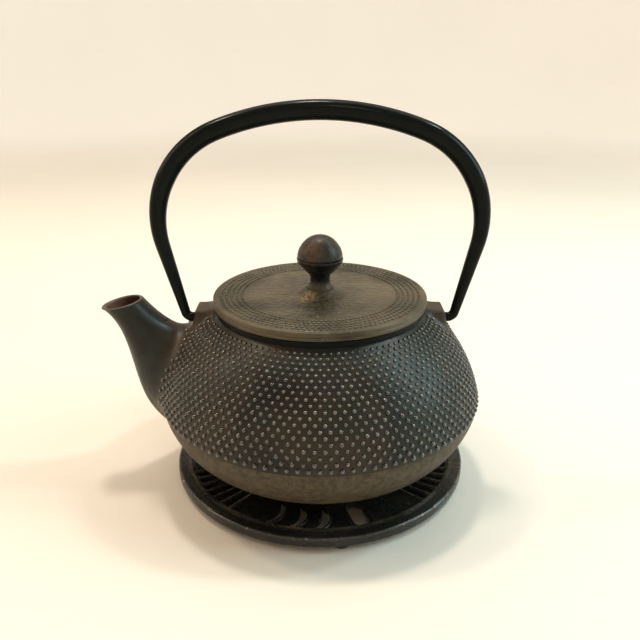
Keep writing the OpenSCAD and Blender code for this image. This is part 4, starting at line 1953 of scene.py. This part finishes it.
@dataclass
class Infuser:
    """Drop-in infuser: pressed rim, woven wall and floor, and a bottom band."""

    rim: NodeBox
    wall: NodeBox
    floor: NodeBox
    band: NodeBox
    flange_t: float = 1.2
    sheet: float = 0.6
    lip_w: float = 3.0
    wire_r: float = 0.15
    wire_sides: int = 4
    pitch: float = 1.6
    wave: float = 0.14

    def rim_shape(self) -> Shape:
        """Rim with its flange and neck."""
        neck_out = self.band.radius
        neck_in = neck_out - self.sheet
        top, low = self.rim.high.z, self.rim.low.z
        under = top - self.flange_t
        out = self.rim.radius
        corners = [
            (neck_in, low), (neck_out, low), (neck_out, under), (out, under), (out, top), (neck_in, top),
        ]
        return turned(rounded(corners, [0.2, 0.2, 0.4, 0.5, 0.5, 0.8]), 128)

    def band_shape(self) -> Shape:
        """Band round the bottom, with a lip under the floor."""
        out = self.band.radius
        inner = out - self.sheet
        low, high = self.band.low.z, self.band.high.z
        lip = inner - self.lip_w
        shelf = low + self.sheet
        corners = [(lip, low), (out, low), (out, high), (inner, high), (inner, shelf), (lip, shelf)]
        return turned(rounded(corners, [0.2, 0.5, 0.25, 0.25, 0.2, 0.2]), 128)

    def wall_lines(self) -> tuple[list[np.ndarray], list[np.ndarray]]:
        """Woven wires of the wall.

        Returns:
            The rings, and the upright wires.
        """
        r = self.wall.radius - self.sheet / 2
        count = int(2 * math.pi * r / self.pitch / 2) * 2
        low, high = self.wall.low.z, self.wall.high.z
        rows = int((high - low) / self.pitch)
        angles = np.arange(count * 2) * math.pi / count
        rings = []
        for row in range(rows + 1):
            swing = r + self.wave * np.cos(angles * count / 2 + math.pi * (row % 2))
            level = np.full(len(angles), low + (high - low) * row / rows)
            rings.append(np.stack([swing * np.cos(angles), swing * np.sin(angles), level], axis=1))
        uprights = []
        heights = np.linspace(low, high, rows * 2 + 1)
        for k in range(count):
            a = 2 * math.pi * k / count
            swing = r - self.wave * np.cos(np.arange(len(heights)) * math.pi / 2 + math.pi * (k % 2))
            uprights.append(np.stack([swing * math.cos(a), swing * math.sin(a), heights], axis=1))
        return rings, uprights

    def floor_lines(self) -> list[np.ndarray]:
        """Woven wires of the floor, cut to its circle."""
        r = self.floor.radius - 0.2
        z = (self.floor.low.z + self.floor.high.z) / 2
        half = int(r / self.pitch)
        lines = []
        for way in (0, 1):
            for i in range(-half, half + 1):
                off = i * self.pitch
                reach = math.sqrt(max(r * r - off * off, 0))
                if reach < 2 * self.pitch:
                    continue
                count = int(2 * reach / (self.pitch / 2))
                run = np.linspace(-reach, reach, count)
                lift = self.wave * np.cos(run / self.pitch * math.pi + math.pi * ((i + way) % 2))
                fixed = np.full(count, off)
                pair = (run, fixed) if way == 0 else (fixed, run)
                lines.append(np.stack([*pair, z + lift], axis=1))
        return lines

    def wires(
        self, tree: NodeTree, name: str, groups: Sequence[tuple[list[np.ndarray], bool]], look: Material
    ) -> Object:
        """Draw groups of woven wires as one piece.

        Args:
            tree: the rod tree.
            name: piece name.
            groups: lines of each group, and whether they are rings.
            look: their finish.

        Returns:
            The finished piece.
        """
        drawn = []
        for lines, ring in groups:
            radii = [np.full(len(line), self.wire_r) for line in lines]
            base = line_mesh(f"{name}_lines", lines, radii, ring)
            sizes = {"Sides": self.wire_sides, "Flatness": 1.0, "Material": look}
            drawn.append(tree.apply(name, base, sizes))
        whole = bmesh.new()
        for part in drawn:
            whole.from_mesh(part.data)
        whole.to_mesh(drawn[0].data)
        whole.free()
        for part in drawn[1:]:
            bpy.data.objects.remove(part)
        return drawn[0]

    def build(self, tree: NodeTree) -> None:
        """Build and dress the infuser.

        Args:
            tree: the rod tree.
        """
        steel = Steel("infuser_steel").build()
        wire = Steel("infuser_wire", colour=(0.5, 0.49, 0.47), rough=0.32).build()
        flange = piece_from("infuser_flange", self.rim_shape(), (steel,))
        settle(flange, Body.INFUSER, Slot.STEEL, "infuser_rim")
        hoop = piece_from("infuser_hoop", self.band_shape(), (steel,))
        settle(hoop, Body.INFUSER, Slot.STEEL, "infuser_band")
        rings, uprights = self.wall_lines()
        woven = self.wires(tree, "infuser_weave", [(rings, True), (uprights, False)], wire)
        settle(woven, Body.INFUSER, Slot.MESH, "infuser_wall")
        base = self.wires(tree, "infuser_base", [(self.floor_lines(), False)], wire)
        settle(base, Body.INFUSER, Slot.MESH, "infuser_floor")


# ------------------------------------------------------------------ trivet


@dataclass
class Trivet:
    """Round openwork trivet with a raised line, cast ribs and rubber feet."""

    plate: NodeBox
    feet: tuple[str, ...] = ("trivet_foot_front", "trivet_foot_right", "trivet_foot_left")
    edge: float = 0.45
    ridge_in: float = 66.9
    ridge_out: float = 68.5
    rim_top: float = 8.0
    web_top: float = 5.8
    web_in: float = 47.5
    web_out: float = 65.6
    front: float = math.radians(-82)
    repeats: int = 3
    comb: int = 6
    comb_step: float = 5.4
    comb_before_front: float = 64.0
    waves: int = 3
    first_wave: float = 29.0
    wave_step: float = 11.0
    wave_face: float = 65.0
    wave_half: float = 52.0
    window: float = 74.0
    window_half: float = 5.2

    def casting(self, look: Material) -> Object:
        """Round the edges of the trivet's plate, as a casting has them.

        Args:
            look: its finish.

        Returns:
            The finished piece.
        """
        source = frame["nodes"]["trivet_plate"].data
        work = bmesh.new()
        work.from_mesh(source)
        bmesh.ops.remove_doubles(work, verts=work.verts, dist=2e-6)
        bmesh.ops.dissolve_limit(work, angle_limit=math.radians(1), verts=work.verts, edges=work.edges)
        mesh = bpy.data.meshes.new("trivet_casting")
        work.to_mesh(mesh)
        work.free()
        mesh.materials.clear()
        mesh.materials.append(look)
        piece = bpy.data.objects.new("trivet_casting", mesh)
        bpy.context.scene.collection.objects.link(piece)
        bevel = piece.modifiers.new("edges", "BEVEL")
        bevel.width = self.edge * MM
        bevel.segments = 3
        bevel.limit_method = "ANGLE"
        bevel.angle_limit = math.radians(40)
        bevel.harden_normals = False
        evaluated = piece.evaluated_get(bpy.context.evaluated_depsgraph_get())
        finished = bpy.data.meshes.new_from_object(evaluated)
        piece.modifiers.clear()
        piece.data = finished
        finished.shade_smooth()
        finished.set_sharp_from_angle(angle=math.radians(40))
        return piece

    def spoke(self, angle: float, run: np.ndarray) -> np.ndarray:
        """Points of a straight rib at an angle, at the given distances from the axis."""
        level = np.full(len(run), self.web_top)
        return np.stack([run * math.cos(angle), run * math.sin(angle), level], axis=1)

    def rib_lines(self) -> tuple[list[np.ndarray], list[np.ndarray]]:
        """Raised ribs along the openwork: bars of the combs and wave crests.

        Returns:
            Lines of the ribs, and the rib radius at each of their points.
        """
        lines, radii = [], []
        inner, outer = self.web_in, self.web_out
        straight, curved = 9, 17
        tooth = np.linspace(inner, outer, straight)
        post = np.linspace(inner + 1.5, outer - 0.5, straight)
        for k in range(self.repeats):
            turn = self.front - math.radians(self.comb_before_front) + 2 * math.pi * k / self.repeats
            for i in range(self.comb + 1):
                lines.append(self.spoke(turn + (i - self.comb / 2) * math.radians(self.comb_step), tooth))
                radii.append(np.interp(tooth, [inner, inner + 3, outer], [0.35, 0.75, 0.75]))
            for i in range(self.waves):
                out = turn + math.radians(self.first_wave + i * self.wave_step)
                hub = (inner + outer) / 2 * np.array([math.cos(out), math.sin(out)])
                t = np.linspace(0, 1, curved)
                a = out + math.radians(self.wave_face) + math.radians(self.wave_half) * (2 * t - 1)
                bead = (outer - inner) / 2 + 0.9
                level = np.full(curved, self.web_top)
                east, north = hub[0] + bead * np.cos(a), hub[1] + bead * np.sin(a)
                lines.append(np.stack([east, north, level], axis=1))
                radii.append(0.2 + 0.55 * np.sin(math.pi * np.clip(t, 0.04, 0.96)))
            for side in (-1, 1):
                lines.append(self.spoke(turn + math.radians(self.window + side * self.window_half), post))
                radii.append(np.full(straight, 0.55))
        return lines, radii

    def foot(self, name: str, look: Material) -> Object:
        """Turn one rubber foot with rounded edges.

        Args:
            name: its CAD node.
            look: its finish.

        Returns:
            The finished piece.
        """
        box = NodeBox.of(name)
        middle = (box.low + box.high) / 2
        radius = (box.high.x - box.low.x) / 2
        top = self.plate.low.z
        corners = [(0, 0), (radius, 0), (radius, top), (1.5, top), (1.5, box.high.z), (0, box.high.z)]
        shape = turned(rounded(corners, [0, 0.7, 0.3, 0, 0.2, 0]), 48)
        shape.points = shape.points + np.array([middle.x, middle.y, 0])
        return piece_from(f"rubber_{name.split('_')[-1]}", shape, (look,))

    def build(self, tree: NodeTree) -> None:
        """Build and dress the trivet.

        Args:
            tree: the rod tree.
        """
        iron = TrivetIron(
            "trivet_iron",
            deep=(0.007, 0.008, 0.007), patina=(0.020, 0.018, 0.013), bloom=(0.013, 0.014, 0.013),
            grain_mm=0.8, grain_depth=0.03, rough_low=0.22, rough_high=0.36, specular=0.5,
            line_r=(self.ridge_in, self.ridge_out), edge_r=self.plate.radius, edge_z=self.rim_top - 0.2,
        ).build()
        rubber = Rubber("foot_rubber").build()
        settle(self.casting(iron), Body.TRIVET, Slot.TRIVET, "trivet_plate")
        lines, radii = self.rib_lines()
        base = line_mesh("rib_lines", lines, radii, False)
        ribs = tree.apply("trivet_ribs", base, {"Sides": 8, "Flatness": 0.8, "Material": iron})
        settle(ribs, Body.TRIVET, Slot.TRIVET)
        for name in self.feet:
            settle(self.foot(name, rubber), Body.TRIVET, Slot.FOOT, name)


# ------------------------------------------------------------------ studio


@dataclass
class Studio:
    """Plain pale sweep, soft lights and the camera."""

    aim: tuple[float, float, float] = (0.0, 0.0, 0.07)
    camera_at: tuple[float, float, float] = (0.0, -0.3153, 0.2066)
    camera_tilt: float = math.radians(68.18)
    lens_mm: float = 38.93
    floor: Colour = (0.83, 0.760, 0.665)
    glow: Colour = (1.0, 0.925, 0.83)
    glow_strength: float = 0.36
    air: Colour = (0.95, 0.92, 0.86)
    air_strength: float = 0.12

    def room(self) -> None:
        """Round pale floor that curves up into a wall all round, open above."""
        reach, bend, height, steps = 1500.0, 600.0, 2400.0, 16
        line: list[Point] = [(0.0, -20.0), (0.0, 0.0), (reach, 0.0)]
        for k in range(1, steps + 1):
            a = math.pi / 2 * k / steps
            line.append((reach + bend * math.sin(a), bend * (1 - math.cos(a))))
        out = reach + bend
        line += [(out, height), (out + 20, height), (out + 20, -20.0)]
        shader = Shader("floor_paper")
        clouds = shader.remap(shader.noise(240, 2, 0.4), 0.3, 0.7)
        shader.link(shader.blend(clouds, self.floor, tuple(c * 0.97 for c in self.floor)), "Base Color")
        shader.set(Roughness=0.6, Emission_Color=self.glow)
        far = shader.remap(shader.axis_distance(), 0.8, 1.7, 0.0, self.glow_strength)
        low_down = shader.remap(shader.height(), 1.0, 0.5)
        shader.link(shader.math("MULTIPLY", far, low_down), "Emission Strength")
        piece_from("floor", turned(line, 96), (shader.material,), 60)

    def softbox(self, name: str, at: Sequence[float], size: Point, power: float, colour: Colour) -> None:
        """Add a soft light that faces the pot's middle.

        Args:
            name: light name.
            at: its place, in metres.
            size: width and height, in metres.
            power: in watts.
            colour: its tint.
        """
        light = bpy.data.lights.new(name, "AREA")
        light.shape = "RECTANGLE"
        light.size, light.size_y = size
        light.energy = power
        light.color = colour
        lamp = bpy.data.objects.new(name, light)
        lamp.location = at
        towards = Vector(self.aim) - Vector(at)
        lamp.rotation_euler = towards.to_track_quat("-Z", "Y").to_euler()
        bpy.context.scene.collection.objects.link(lamp)

    def build(self) -> None:
        """Set up the floor, the lights and the camera."""
        self.room()
        self.softbox("top", (0.05, 0.5, 1.15), (1.3, 0.7), 4.8, (1.0, 0.95, 0.87))
        self.softbox("window", (-1.1, 0.05, 0.85), (0.5, 0.8), 4.2, (1.0, 0.77, 0.58))
        self.softbox("sky", (1.15, -0.05, 0.70), (0.6, 0.8), 9.5, (0.58, 0.90, 1.0))
        self.softbox("key", (-0.05, 0.28, 1.30), (0.12, 0.12), 5.6, (1.0, 0.93, 0.83))
        self.softbox("fill", (0.15, -0.75, 1.15), (0.20, 0.20), 1.0, (1.0, 0.92, 0.80))
        self.softbox("warm_spark", (-0.55, 0.2, 1.1), (0.11, 0.11), 3.2, (1.0, 0.84, 0.64))
        self.softbox("cool_spark", (0.65, 0.15, 1.0), (0.11, 0.11), 3.4, (0.76, 0.96, 1.0))
        world = bpy.data.worlds.new("studio")
        world.use_nodes = True
        backdrop = world.node_tree.nodes["Background"]
        backdrop.inputs["Color"].default_value = (*self.air, 1)
        backdrop.inputs["Strength"].default_value = self.air_strength
        bpy.context.scene.world = world
        bpy.context.scene.view_settings.view_transform = "Standard"
        data = bpy.data.cameras.new("camera")
        data.lens = self.lens_mm
        data.clip_start = 0.01
        camera = bpy.data.objects.new("camera", data)
        camera.location = self.camera_at
        camera.rotation_euler = (self.camera_tilt, 0, 0)
        bpy.context.scene.collection.objects.link(camera)
        bpy.context.scene.camera = camera


def dress_washer() -> None:
    """Give the CAD washer under the lid its steel."""
    node = frame["nodes"]["knob_washer"]
    node.data.materials.clear()
    node.data.materials.append(Steel("washer_steel").build())


def main() -> None:
    """Build every sub-assembly in order."""
    logging.basicConfig(level=logging.INFO, format="%(name)s %(message)s")
    studs, rods, ribs = stud_tree(), rod_tree(RodTurn.STEADY), rod_tree(RodTurn.UPRIGHT)
    lid_box = NodeBox.of("lid_plate")
    flange = NodeBox.of("infuser_rim")
    washer = NodeBox.of("knob_washer")
    knob = NodeBox.of("lid_knob")
    handle = NodeBox.of("handle")
    overhang, flange_rise = 1.2, 0.4
    collar_z = flange.high.z - flange_rise
    pivot_z = frame_pivot()
    pot = Pot(NodeBox.of("pot_body"), lid_box.radius - overhang, collar_z, pivot_z)
    form = pot.build(studs)
    Lid(lid_box, washer.high.z).build(studs)
    Knob(knob, lid_box.high.z).build()
    dress_washer()
    Bail(handle, pivot_z, form.lug_x).build(rods)
    wall, floor, band = (NodeBox.of(f"infuser_{part}") for part in ("wall", "floor", "band"))
    Infuser(flange, wall, floor, band).build(rods)
    Trivet(NodeBox.of("trivet_plate")).build(ribs)
    Studio().build()


def frame_pivot() -> float:
    """Height of the handle's axis, in millimetres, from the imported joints."""
    for joint in frame["joints"]:
        if joint["name"] == "handle_swing":
            return joint["pos_m"][2] / MM
    raise KeyError("handle_swing")


if __name__ == "__main__":
    main()
